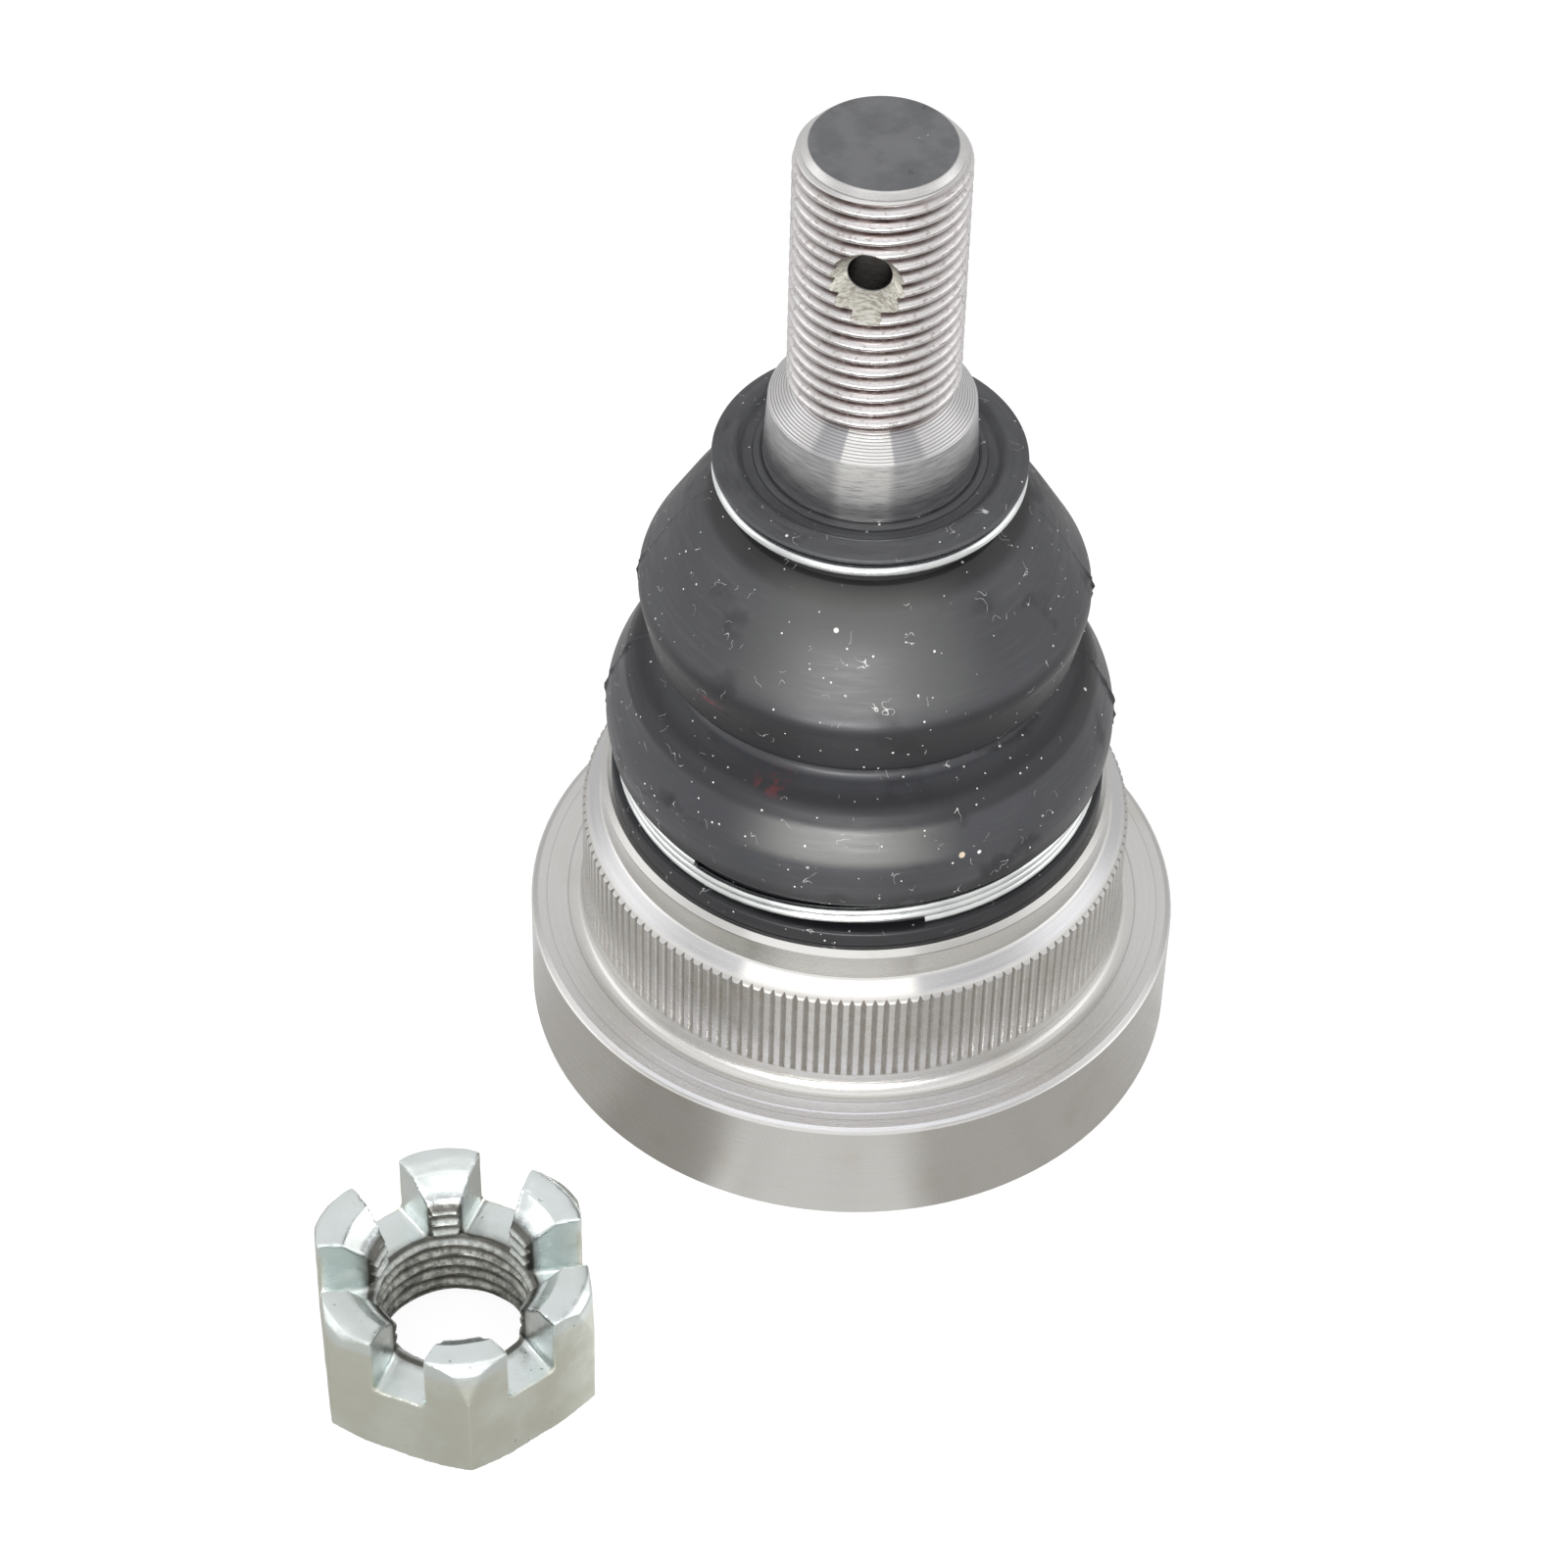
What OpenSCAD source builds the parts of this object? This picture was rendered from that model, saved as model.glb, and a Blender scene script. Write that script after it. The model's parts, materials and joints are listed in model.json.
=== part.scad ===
// Suspension ball joint: a flanged steel housing with a knurled press-in band, a ball stud on
// two bearings and a disc spring, a rubber bellows boot with two wire clamps, and a loose castle nut.
// The origin is the centre of the flat base on the housing's axis, and +Z runs up the stud.

/* [Housing] */
// Diameter of the flange
flange_d = 64.5; // [62:0.1:70]
// Height of the flange's seat face above the base
flange_h = 12.7; // [11:0.1:12.9]
// Diameter of the band that is pressed into the suspension arm
band_d = 54.1; // [53:0.1:56]
// How far the knurl's crests stand below the plain land under them, on the diameter
crest_drop = 0.1; // [0.04:0.02:0.3]
// Length of the knurl
knurl_len = 10.1; // [6:0.1:10.2]
// Number of grooves round the knurl
knurl_grooves = 154; // [60:2:180]
// Width of one knurl groove at the crests
groove_w = 0.56; // [0.2:0.02:0.8]
// Depth of one knurl groove
groove_depth = 0.38; // [0.15:0.01:0.5]
// Diameter of the pilot above the knurl
pilot_d = 50.3; // [49:0.1:51]
// Height of the shoulder that the boot stands on
shoulder_h = 30.2; // [30:0.1:30.6]
// Height of the housing's mouth
mouth_h = 37; // [36.6:0.1:37.2]

/* [Ball and bearings] */
// Diameter of the ball
ball_d = 30; // [29:0.1:30.4]
// Height of the ball's centre
ball_h = 20; // [19.8:0.1:20.2]
// Angle between the stud's axis and the bearing's open edge, seen from the ball's centre
throat_angle = 61; // [60:0.5:62]
// Running gap between the ball and its bearings
ball_gap = 0.05; // [0.01:0.01:0.1]
// Width of the grease grooves in the bearings
grease_groove_w = 1.8; // [1:0.1:2.4]
// Diameter of the housing's bearing bore
bore_d = 38; // [37:0.1:39]

/* [Stud] */
// Height of the stud's end face above the base
stud_h = 107.4; // [104:0.1:112]
// Major diameter of the stud's thread
thread_d = 16; // [14:0.1:17]
// Height of the taper's small end
taper_h = 78.2; // [77:0.1:80]
// Diameter of the taper's small end
taper_d = 19.25; // [18.5:0.05:20]
// Taper ratio, length over change of diameter
taper_ratio = 8; // [7.5:0.5:12]
// Diameter of the neck between the ball and the taper
neck_d = 16; // [14:0.1:16.2]
// Diameter of the cotter hole
cotter_d = 4; // [3:0.1:4.5]
// Diameter of the cotter hole's countersink at the thread's crests
cotter_sink_d = 7.5; // [5:0.1:8]
// Distance from the stud's end face down to the cotter hole
cotter_drop = 10.1; // [8:0.1:14]
// Turn of the cotter hole about the stud's axis, from the front
cotter_turn = -7.5; // [-90:0.5:90]

/* [Boot] */
// Wall of the rubber boot
boot_wall = 2; // [1.4:0.1:2.4]
// Diameter of the lip at the boot's foot
boot_foot_d = 48.2; // [47.6:0.1:48.6]
// Diameter of the lower lobe
lower_lobe_d = 49.2; // [48:0.1:50]
// Height of the lower lobe's widest part
lower_lobe_h = 40.1; // [39:0.1:41]
// Diameter of the waist between the lobes
waist_d = 36.9; // [36:0.1:38]
// Height of the waist
waist_h = 48; // [47.6:0.1:48.4]
// Diameter of the upper lobe
upper_lobe_d = 42.9; // [42:0.1:44]
// Height of the upper lobe's widest part
upper_lobe_h = 56; // [55.5:0.1:56.5]
// Diameter of the rim at the boot's top
boot_rim_d = 29.4; // [28.6:0.1:30]
// Height of the boot's top
boot_h = 72; // [71.6:0.1:73]

/* [Wire clamps] */
// Diameter of the clamp wire
wire_d = 1.1; // [0.9:0.05:1.2]
// Number of turns of the lower clamp
lower_turns = 2.84; // [1.8:0.01:2.9]
// Direction of the lower clamp's upper wire end, from +X
lower_start = 230; // [0:1:359]

/* [Castle nut] */
// Size across the nut's flats
nut_af = 25; // [24:0.1:26]
// Height of the nut over its towers
nut_h = 15.3; // [14.5:0.1:17]
// Height of the slots' floors
slot_h = 8.4; // [7.5:0.1:9]
// Width of a slot
slot_w = 5.2; // [4:0.1:5.6]
// Diameter of the nut's threaded hole at the thread's crests
nut_hole_d = 14.38; // [13:0.01:15]
// Where the loose nut lies, along X
nut_x = -35.7; // [-60:0.1:-34]
// Where the loose nut lies, along Y
nut_y = -51.6; // [-70:0.1:-48]
// Turn of the nut about its own axis
nut_turn = 10.8; // [-30:0.1:30]

/* [Hidden] */
$fn = 96;

ball_r = ball_d / 2;
neck_r = neck_d / 2;
thread_r = thread_d / 2;
bore_r = bore_d / 2;
land_r = band_d / 2;
crest_r = land_r - crest_drop / 2;
pilot_r = pilot_d / 2;

// Flange edges, and the fillet between the flange and the press-in band
flange_r = flange_d / 2;
edge_drop = 0.45;
edge_in = 0.6;
foot_chamfer = 0.5;
seat_r = land_r + 2.85;
seat_step = 0.12;
band_fillet = 1.1;
land_h = 1.15;

// Heights up the outside of the housing
knurl_z = flange_h + band_fillet + land_h;
crest_z = knurl_z + knurl_len;
band_chamfer = crest_r - pilot_r;
pilot_z = crest_z + band_chamfer;
shoulder_chamfer = 0.55;

// The collar that holds the boot's foot
collar_r = 21;
collar_groove_r = 20.4;
collar_groove_z = [shoulder_h + 2.1, shoulder_h + 5.4];
collar_lip_z = mouth_h - 0.6;

// Inside of the housing
mouth_r = 17.4;
mouth_foot_r = 13.6;
bearing_top = ball_h + 8.4;
cover_rim_z = [1.4, 3.4];
cover_seat_r = bore_r + 1.6;
lip_r = bore_r - 0.1;
lip_round = 0.6;

// Bearings and spring
fit_gap = 0.05;
bearing_r = bore_r - fit_gap;
cup_r = ball_r + ball_gap;
split_gap = 0.4;
lower_bearing_z = 6.4;
cup_hole_r = 8.9;
spring_t = 1.1;
spring_r = [9.5, 18.2];

// Stud
ball_flat = 12.5;
neck_fillet = 1.5;
taper_foot_z = 56;
taper_foot_r = taper_d / 2 + (taper_h - taper_foot_z) / taper_ratio / 2;
taper_entry = 2.6;
root_r = thread_r - 0.72;
relief_z = taper_h + 2;
thread_z = relief_z + 0.2;
end_chamfer = 1.3;
cotter_z = stud_h - cotter_drop;

// Boot: where its bands lie, and the radii that the clamps pull it in to
foot_z = shoulder_h + fit_gap;
foot_lip_top = foot_z + 1.6;
foot_seat_top = foot_lip_top + 3.5;
foot_seat_r = boot_foot_d / 2 - 1.55;
head_seat_z = [67.2, 70.2];
head_seat_r = 13;
rim_r = boot_rim_d / 2;
head_gap = 0.06;

upper_wire_r = head_seat_r + wire_d / 2 + 0.02;
upper_wire_z = 69.4;
lower_wire_r = foot_seat_r + wire_d / 2 + 0.06;
wire_pitch = wire_d + 0.03;
level_turn = lower_turns - floor(lower_turns);
lower_wire_z = foot_lip_top + wire_d / 2 + 0.05;

nut_corner_r = nut_af / sqrt(3);
nut_foot_r = nut_af / 2 + 0.3;

// Radius of the stud's taper at a height
function taper_r(z) = taper_d / 2 + (taper_h - z) / taper_ratio / 2;

// Points along an arc
function arc(centre, r, from, to, steps = 8) =
    [for (i = [0 : steps]) let (a = from + (to - from) * i / steps) centre + r * [cos(a), sin(a)]];

function unit(v) = v / norm(v);
function xy(p) = [p[0], p[1]];

// The arc that rounds one corner of an outline: p is [x, y, radius], and a and b are its neighbours
function corner(a, p, b, steps = 6) =
    p[2] == 0 ? [xy(p)] :
    let (
        u = unit(xy(a) - xy(p)), v = unit(xy(b) - xy(p)),
        half = acos(u * v) / 2,
        reach = p[2] / tan(half),
        centre = xy(p) + unit(u + v) * p[2] / sin(half),
        start = xy(p) + u * reach - centre, end = xy(p) + v * reach - centre,
        a0 = atan2(start[1], start[0]), a1 = atan2(end[1], end[0]),
        turn = a1 - a0 > 180 ? a1 - a0 - 360 : a1 - a0 < -180 ? a1 - a0 + 360 : a1 - a0
    )
    arc(centre, p[2], a0, a0 + turn, steps);

// An open line with its corners rounded
function rounded(pts, steps = 6) = [
    for (i = [0 : len(pts) - 1])
        for (q = i == 0 || i == len(pts) - 1 ? [xy(pts[i])] : corner(pts[i - 1], pts[i], pts[i + 1], steps))
            q
];

// The corner of a wall's inner face behind the outer face's corner p
function inner_corner(a, p, b, wall) =
    let (
        u = unit(xy(p) - xy(a)), v = unit(xy(b) - xy(p)),
        side = [-u[1], u[0]], inward = unit([-u[1] - v[1], u[0] + v[0]]),
        bulges = u[0] * v[1] - u[1] * v[0] > 0
    )
    concat(xy(p) + inward * wall / (inward * side), max(0.3, p[2] + (bulges ? -wall : wall)));

function reversed(pts) = [for (i = [len(pts) - 1 : -1 : 0]) pts[i]];

module turned(outline) {
    rotate_extrude() polygon(outline);
}

// One V groove of the knurl, as a flat triangle that points at the axis
module groove_outline() {
    over = 0.4;
    spread = groove_w / 2 * (groove_depth + over) / groove_depth;
    polygon([[crest_r - groove_depth, 0], [crest_r + over, -spread], [crest_r + over, spread]]);
}

module housing() {
    outside = concat(
        [
            [lip_r + lip_round, 0], [flange_r - foot_chamfer, 0], [flange_r, foot_chamfer],
            [flange_r, flange_h - edge_drop - seat_step], [flange_r - edge_in, flange_h - seat_step],
            [seat_r, flange_h - seat_step], [seat_r, flange_h]
        ],
        arc([land_r + band_fillet, flange_h + band_fillet], band_fillet, 270, 180),
        [
            [land_r, knurl_z], [crest_r, knurl_z], [crest_r, crest_z], [pilot_r, pilot_z],
            [pilot_r, shoulder_h - shoulder_chamfer], [pilot_r - shoulder_chamfer, shoulder_h],
            [collar_r, shoulder_h], [collar_r, collar_groove_z[0]],
            [collar_groove_r, collar_groove_z[0] + 0.4], [collar_groove_r, collar_groove_z[1] - 0.4],
            [collar_r, collar_groove_z[1]], [collar_r, collar_lip_z],
            [collar_r - 0.6, mouth_h]
        ]
    );
    inside = concat(
        [
            [mouth_r + 0.8, mouth_h], [mouth_r, mouth_h - 0.8], [mouth_foot_r, bearing_top],
            [bore_r, bearing_top], [bore_r, cover_rim_z[1]], [cover_seat_r, cover_rim_z[1]],
            [cover_seat_r, cover_rim_z[0]], [lip_r, cover_rim_z[0]]
        ],
        arc([lip_r + lip_round, lip_round], lip_round, 180, 270)
    );
    color("lightgray")
    difference() {
        turned(concat(outside, inside));
        translate([0, 0, knurl_z])
            linear_extrude(knurl_len + band_chamfer)
                for (i = [0 : knurl_grooves - 1])
                    rotate(360 * i / knurl_grooves) groove_outline();
    }
}

// Pressed plate that closes the base: its rim is held by the housing's rolled lip
module cover_plate() {
    plate_t = cover_rim_z[1] - cover_rim_z[0];
    rim = cover_seat_r - fit_gap;
    color("silver")
    turned([
        [0, 0], [10.5, 0], [13, cover_rim_z[0]], [rim, cover_rim_z[0]],
        [rim, cover_rim_z[1]], [12.2, cover_rim_z[1]], [9.7, plate_t], [0, plate_t]
    ]);
}

// Coned washer that keeps the bearings pressed on the ball
module disc_spring() {
    low = cover_rim_z[1];
    high = lower_bearing_z;
    color("dimgray")
    turned([
        [spring_r[1], low], [spring_r[1], low + spring_t],
        [spring_r[0], high], [spring_r[0], high - spring_t]
    ]);
}

// Space that both bearings leave for the ball, with six grease grooves that run up its side
module ball_space() {
    translate([0, 0, ball_h]) {
        sphere(r = cup_r);
        for (i = [0 : 2])
            rotate([90, 0, 60 * i])
                rotate_extrude() translate([cup_r, 0]) circle(d = grease_groove_w);
    }
}

// Seat under the ball, open in the middle for grease
module lower_bearing() {
    color("khaki")
    difference() {
        turned([
            [cup_hole_r, lower_bearing_z], [bearing_r - 0.5, lower_bearing_z],
            [bearing_r, lower_bearing_z + 0.5], [bearing_r, ball_h - split_gap],
            [cup_hole_r, ball_h - split_gap]
        ]);
        ball_space();
    }
}

// Ring over the ball: its open edge gives the stud its swing
module upper_bearing() {
    throat_r = cup_r * sin(throat_angle);
    throat_z = ball_h + cup_r * cos(throat_angle);
    color("khaki")
    difference() {
        turned([
            [ball_r - 3, ball_h + split_gap], [bearing_r, ball_h + split_gap],
            [bearing_r, bearing_top], [mouth_foot_r, bearing_top],
            [throat_r, throat_z], [ball_r - 3, throat_z - 1]
        ]);
        ball_space();
    }
}

module ball_stud() {
    fillet_r = neck_r + neck_fillet;
    fillet_z = ball_h + sqrt(pow(ball_r + neck_fillet, 2) - pow(fillet_r, 2));
    fillet_start = 180 + atan2(fillet_z - ball_h, fillet_r);
    shank = concat(
        [[0, ball_h + 2], [neck_r - 1, ball_h + 2]],
        reversed(arc([fillet_r, fillet_z], neck_fillet, 180, fillet_start)),
        [
            [neck_r, taper_foot_z - taper_entry], [taper_foot_r, taper_foot_z],
            [taper_d / 2, taper_h], [root_r, relief_z], [root_r, thread_z],
            [thread_r, thread_z + thread_r - root_r], [thread_r, stud_h - end_chamfer],
            [thread_r - end_chamfer, stud_h], [0, stud_h]
        ]
    );
    sink_depth = (cotter_sink_d - cotter_d) / 2;
    over = 1;
    color("gainsboro")
    difference() {
        union() {
            intersection() {
                translate([0, 0, ball_h]) sphere(r = ball_r);
                translate([0, 0, ball_h - ball_flat]) cylinder(r = ball_r + 1, h = 2 * ball_r);
            }
            turned(shank);
        }
        translate([0, 0, cotter_z]) rotate(cotter_turn) rotate([90, 0, 0]) {
            cylinder(d = cotter_d, h = 3 * thread_r, center = true);
            for (side = [0, 180])
                rotate([0, side, 0])
                    translate([0, 0, thread_r - sink_depth])
                        cylinder(d1 = cotter_d, d2 = cotter_sink_d + 2 * over, h = sink_depth + over);
        }
    }
}

// Rubber bellows, closed on the housing's collar and on the stud's taper
module dust_boot() {
    lower_r = lower_lobe_d / 2;
    upper_r = upper_lobe_d / 2;
    waist_r = waist_d / 2;
    // Corners of the folds: radius, height and how far the corner is rounded
    folds = [
        [lower_r - 0.4, foot_seat_top + 0.3, 0.9], [lower_r + 0.3, lower_lobe_h, 8.2],
        [lower_r - 2.6, waist_h - 1.9, 1.9], [waist_r - 1, waist_h, 1], [upper_r - 1, waist_h + 2.2, 1.6],
        [upper_r + 0.2, upper_lobe_h, 3.3], [upper_r - 4.8, upper_lobe_h + 8.8, 16],
        [head_seat_r + 0.5, head_seat_z[0], 0.4]
    ];
    last = len(folds) - 1;
    outside = concat(
        [
            [boot_foot_d / 2, foot_z, 0], [boot_foot_d / 2, foot_lip_top, 0.3],
            [foot_seat_r, foot_lip_top, 0], [foot_seat_r, foot_seat_top, 0]
        ],
        folds,
        [
            [head_seat_r, head_seat_z[0] + 0.2, 0], [head_seat_r, head_seat_z[1], 0],
            [rim_r, head_seat_z[1] + 0.2, 0.3], [rim_r, boot_h - 0.2, 0.4],
            [rim_r - 1.2, boot_h, 0.3], [rim_r - 1.7, boot_h - 1, 0.5], [rim_r - 3, boot_h - 1, 0.3],
            [rim_r - 3.1, boot_h, 0.2], [taper_r(boot_h) + head_gap, boot_h, 0]
        ]
    );
    inside = concat(
        [[taper_r(boot_h - 6) + head_gap, boot_h - 6, 0]],
        reversed([for (i = [1 : last - 1]) inner_corner(folds[i - 1], folds[i], folds[i + 1], boot_wall)]),
        [
            [lower_r - 0.3 - boot_wall, mouth_h + 0.6, 0.3],
            [collar_r + fit_gap, mouth_h, 0], [collar_r + fit_gap, collar_groove_z[1], 0],
            [collar_groove_r + fit_gap, collar_groove_z[1] - 0.45, 0],
            [collar_groove_r + fit_gap, collar_groove_z[0] + 0.45, 0],
            [collar_r + fit_gap, collar_groove_z[0], 0], [collar_r + fit_gap, foot_z, 0]
        ]
    );
    color("#3a3a3d")
    turned(concat(rounded(outside), rounded(inside)));
}

// Single wire ring, cut at the back
module upper_clamp_ring() {
    gap = 6;
    color("gainsboro")
    translate([0, 0, upper_wire_z])
        rotate(90 + gap / 2)
            rotate_extrude(angle = 360 - gap)
                translate([upper_wire_r, 0]) circle(d = wire_d, $fn = 24);
}

// How many pitches the lower clamp's wire has come down, a number of turns below its upper end: it lies level
// round the back and steps down across the front, where only two turns lie over one another
function descent(t) =
    let (whole = floor(t), step = max(0, (t - whole - level_turn) / (1 - level_turn)))
    whole + step * step * (3 - 2 * step);

// Close-wound spring ring with square-cut ends, one turn lying under the other
module lower_clamp_ring() {
    sides = 10;
    rings = round(lower_turns * 60);
    points = [
        for (i = [0 : rings]) let (t = i / rings * lower_turns)
            for (j = [0 : sides - 1]) let (a = 360 * j / sides, r = lower_wire_r + wire_d / 2 * cos(a))
                [
                    r * cos(lower_start - 360 * t), r * sin(lower_start - 360 * t),
                    lower_wire_z + (ceil(lower_turns) - 1 - descent(t)) * wire_pitch + wire_d / 2 * sin(a)
                ]
    ];
    sleeve = [
        for (i = [0 : rings - 1]) for (j = [0 : sides - 1]) let (k = (j + 1) % sides)
            [i * sides + j, i * sides + k, (i + 1) * sides + k, (i + 1) * sides + j]
    ];
    ends = [
        [for (j = [sides - 1 : -1 : 0]) j],
        [for (j = [0 : sides - 1]) rings * sides + j]
    ];
    color("gainsboro")
    polyhedron(points, concat(sleeve, ends), convexity = 6);
}

// Slot for the cotter pin, cut right across the nut from flat to flat
module nut_slot() {
    relief = 0.5;
    half = slot_w / 2;
    rotate([90, 0, 90])
        linear_extrude(3 * nut_af, center = true)
            polygon([
                [-half + relief, slot_h], [half - relief, slot_h], [half, slot_h + relief],
                [half, 2 * nut_h], [-half, 2 * nut_h], [-half, slot_h + relief]
            ]);
}

module castle_nut() {
    hole_r = nut_hole_d / 2;
    crown = [
        [0, 0], [nut_foot_r, 0], [nut_corner_r + 0.1, 1.1], [nut_corner_r + 0.1, nut_h - 4.9],
        [nut_corner_r - 0.75, nut_h - 0.75], [nut_corner_r - 1.5, nut_h], [0, nut_h]
    ];
    color("#b9c4c4")
    translate([nut_x, nut_y, 0]) rotate(nut_turn)
    difference() {
        intersection() {
            rotate(30) cylinder(r = nut_corner_r, h = nut_h, $fn = 6);
            turned(crown);
        }
        translate([0, 0, -1]) cylinder(r = hole_r, h = nut_h + 2);
        translate([0, 0, -0.01]) cylinder(r1 = hole_r + 1.1, r2 = hole_r, h = 1.1);
        turned([
            [0, nut_h - 3.4], [hole_r, nut_h - 3.4], [hole_r + 0.95, nut_h - 2.5],
            [hole_r + 1.25, nut_h - 1.95], [hole_r + 1.8, nut_h - 1.6], [hole_r + 3.1, nut_h - 0.3],
            [nut_corner_r - 2.4, nut_h + 0.01], [0, nut_h + 0.01]
        ]);
        for (a = [0, 60, 120]) rotate(a) nut_slot();
    }
}

housing();
cover_plate();
disc_spring();
lower_bearing();
upper_bearing();
ball_stud();
dust_boot();
upper_clamp_ring();
lower_clamp_ring();
castle_nut();
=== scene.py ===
"""Suspension ball joint: the looks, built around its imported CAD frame.
Lengths are in metres and places in the frame's axes."""

import json
import math
import random

import bpy
from bpy.props import FloatProperty, FloatVectorProperty, IntProperty, PointerProperty
from mathutils import Matrix, Vector, noise


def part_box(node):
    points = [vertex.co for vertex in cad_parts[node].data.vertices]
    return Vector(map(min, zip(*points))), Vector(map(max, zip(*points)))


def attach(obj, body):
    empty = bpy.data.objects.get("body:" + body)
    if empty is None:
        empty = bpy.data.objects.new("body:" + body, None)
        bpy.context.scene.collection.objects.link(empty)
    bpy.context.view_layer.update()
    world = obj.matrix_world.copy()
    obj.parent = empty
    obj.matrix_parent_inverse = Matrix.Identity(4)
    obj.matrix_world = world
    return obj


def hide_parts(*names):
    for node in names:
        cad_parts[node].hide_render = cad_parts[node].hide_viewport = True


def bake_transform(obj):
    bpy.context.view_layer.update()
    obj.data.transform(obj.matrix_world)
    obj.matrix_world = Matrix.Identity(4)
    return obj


bl_info = {
    "name": "Suspension ball joint",
    "version": (1, 0, 0),
    "blender": (4, 5, 0),
    "location": "View3D > Sidebar > Ball joint",
    "description": "Models and finishes the pieces of a suspension ball joint around its CAD frame",
    "category": "Object",
}

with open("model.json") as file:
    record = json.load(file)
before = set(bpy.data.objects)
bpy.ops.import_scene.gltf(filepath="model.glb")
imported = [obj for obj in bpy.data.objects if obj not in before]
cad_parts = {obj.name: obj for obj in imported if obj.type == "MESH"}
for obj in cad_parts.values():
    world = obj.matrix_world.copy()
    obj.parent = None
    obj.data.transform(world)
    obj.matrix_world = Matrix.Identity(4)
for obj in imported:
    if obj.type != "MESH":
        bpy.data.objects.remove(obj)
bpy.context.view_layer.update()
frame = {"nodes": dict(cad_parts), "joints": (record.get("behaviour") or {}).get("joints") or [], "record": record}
MOUNTS = {mount["name"]: mount for mount in frame["record"]["mounts"]}
MM = 0.001
FULL_TURN = 2 * math.pi

BALL_CENTRE = next(joint for joint in frame["joints"] if joint["name"] == "stud_swing")["pos_m"][2]
THREAD_RADIUS = MOUNTS["stud_thread"]["dims"]["r_mm"] * MM
COTTER_RADIUS = MOUNTS["cotter_hole"]["dims"]["r_mm"] * MM
COTTER_PLACE = Vector(MOUNTS["cotter_hole"]["pos_m"])
COTTER_AXIS = Vector(MOUNTS["cotter_hole"]["axis"]).normalized()
BAND_RADIUS = MOUNTS["press_in_band"]["dims"]["r_mm"] * MM
NUT_BORE = MOUNTS["nut_thread"]["dims"]["r_mm"] * MM
NUT_PLACE = Vector((MOUNTS["nut_thread"]["pos_m"][0], MOUNTS["nut_thread"]["pos_m"][1], 0))
STUD_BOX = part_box("ball_stud")
BOOT_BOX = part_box("dust_boot")
NUT_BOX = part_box("castle_nut")
LOWER_CLAMP_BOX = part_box("lower_clamp_ring")
UPPER_CLAMP_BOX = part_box("upper_clamp_ring")

# Radius and height of the small end of the stud's 1:8 taper, and the slope of its side.
TAPER_TOP = (9.625 * MM, MOUNTS["stud_taper"]["pos_m"][2])
TAPER_SLOPE = 1 / 16

# Directions about the vertical axis in which the housing and the stud mirror the lamps in front.
# The painted highlights and shades on the housing, the stud and the boot are centred on them.
HOUSING_FRONT = math.radians(-94)
STUD_FRONT = math.radians(-91.5)
FLECK_PLACE = Vector((10.17, -21.96, 41.2)) * MM

# The photograph's camera, and its turns down, to the side and about the view.
CAMERA_PLACE = Vector((0, -336.46, 371.87)) * MM
CAMERA_PITCH, CAMERA_YAW, CAMERA_ROLL = math.radians(45.69), math.radians(-1.21), math.radians(1.62)


class StudSizes(bpy.types.PropertyGroup):
    thread_pitch: FloatProperty(
        name="Thread pitch", description="Rise of the thread in one turn",
        default=1.5 * MM, min=0.5 * MM, max=2.5 * MM, precision=5, unit="LENGTH",
    )
    end_chamfer: FloatProperty(
        name="End chamfer", description="Chamfer at the stud's threaded end",
        default=1.3 * MM, min=0.2 * MM, max=2 * MM, precision=5, unit="LENGTH",
    )
    countersink: FloatProperty(
        name="Countersink", description="Diameter of the cotter hole's countersinks",
        default=7.9 * MM, min=5 * MM, max=9 * MM, precision=5, unit="LENGTH",
    )
    sink_depth: FloatProperty(
        name="Countersink depth", description="Depth of the countersinks below the thread's crests",
        default=2.5 * MM, min=1 * MM, max=4 * MM, precision=5, unit="LENGTH",
    )


class BootSizes(bpy.types.PropertyGroup):
    wall: FloatProperty(
        name="Wall", description="Thickness of the boot's rubber",
        default=2 * MM, min=1 * MM, max=3 * MM, precision=5, unit="LENGTH",
    )
    seam: FloatProperty(
        name="Seam height", description="How far the mould's flash stands out along its two seams",
        default=0.3 * MM, min=0, max=0.6 * MM, precision=5, unit="LENGTH",
    )
    sides: IntProperty(
        name="Sides", description="Number of faces round the boot", default=192, min=64, max=256,
    )


class ClampSizes(bpy.types.PropertyGroup):
    wire: FloatProperty(
        name="Lower wire", description="Diameter of the lower clamp's wire",
        default=0.88 * MM, min=0.5 * MM, max=1.5 * MM, precision=5, unit="LENGTH",
    )
    upper_wire: FloatProperty(
        name="Upper wire", description="Diameter of the upper clamp's wire",
        default=1.1 * MM, min=0.5 * MM, max=1.5 * MM, precision=5, unit="LENGTH",
    )
    lower_turns: FloatProperty(
        name="Lower turns", description="Number of turns of the lower clamp", default=2.84, min=1, max=4,
    )


class NutSizes(bpy.types.PropertyGroup):
    across_flats: FloatProperty(
        name="Across flats", description="Size of the nut's hexagon",
        default=25 * MM, min=22 * MM, max=27 * MM, precision=5, unit="LENGTH",
    )
    slot_width: FloatProperty(
        name="Slot width", description="Width of the slots for the cotter pin",
        default=5.2 * MM, min=3 * MM, max=6 * MM, precision=5, unit="LENGTH",
    )
    slot_floor: FloatProperty(
        name="Slot floor", description="Height of the slots' floors above the nut's base",
        default=8.4 * MM, min=6 * MM, max=10 * MM, precision=5, unit="LENGTH",
    )
    turn: FloatProperty(
        name="Turn", description="Turn of the loose nut about its own axis",
        default=math.radians(10.8), subtype="ANGLE",
    )


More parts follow.
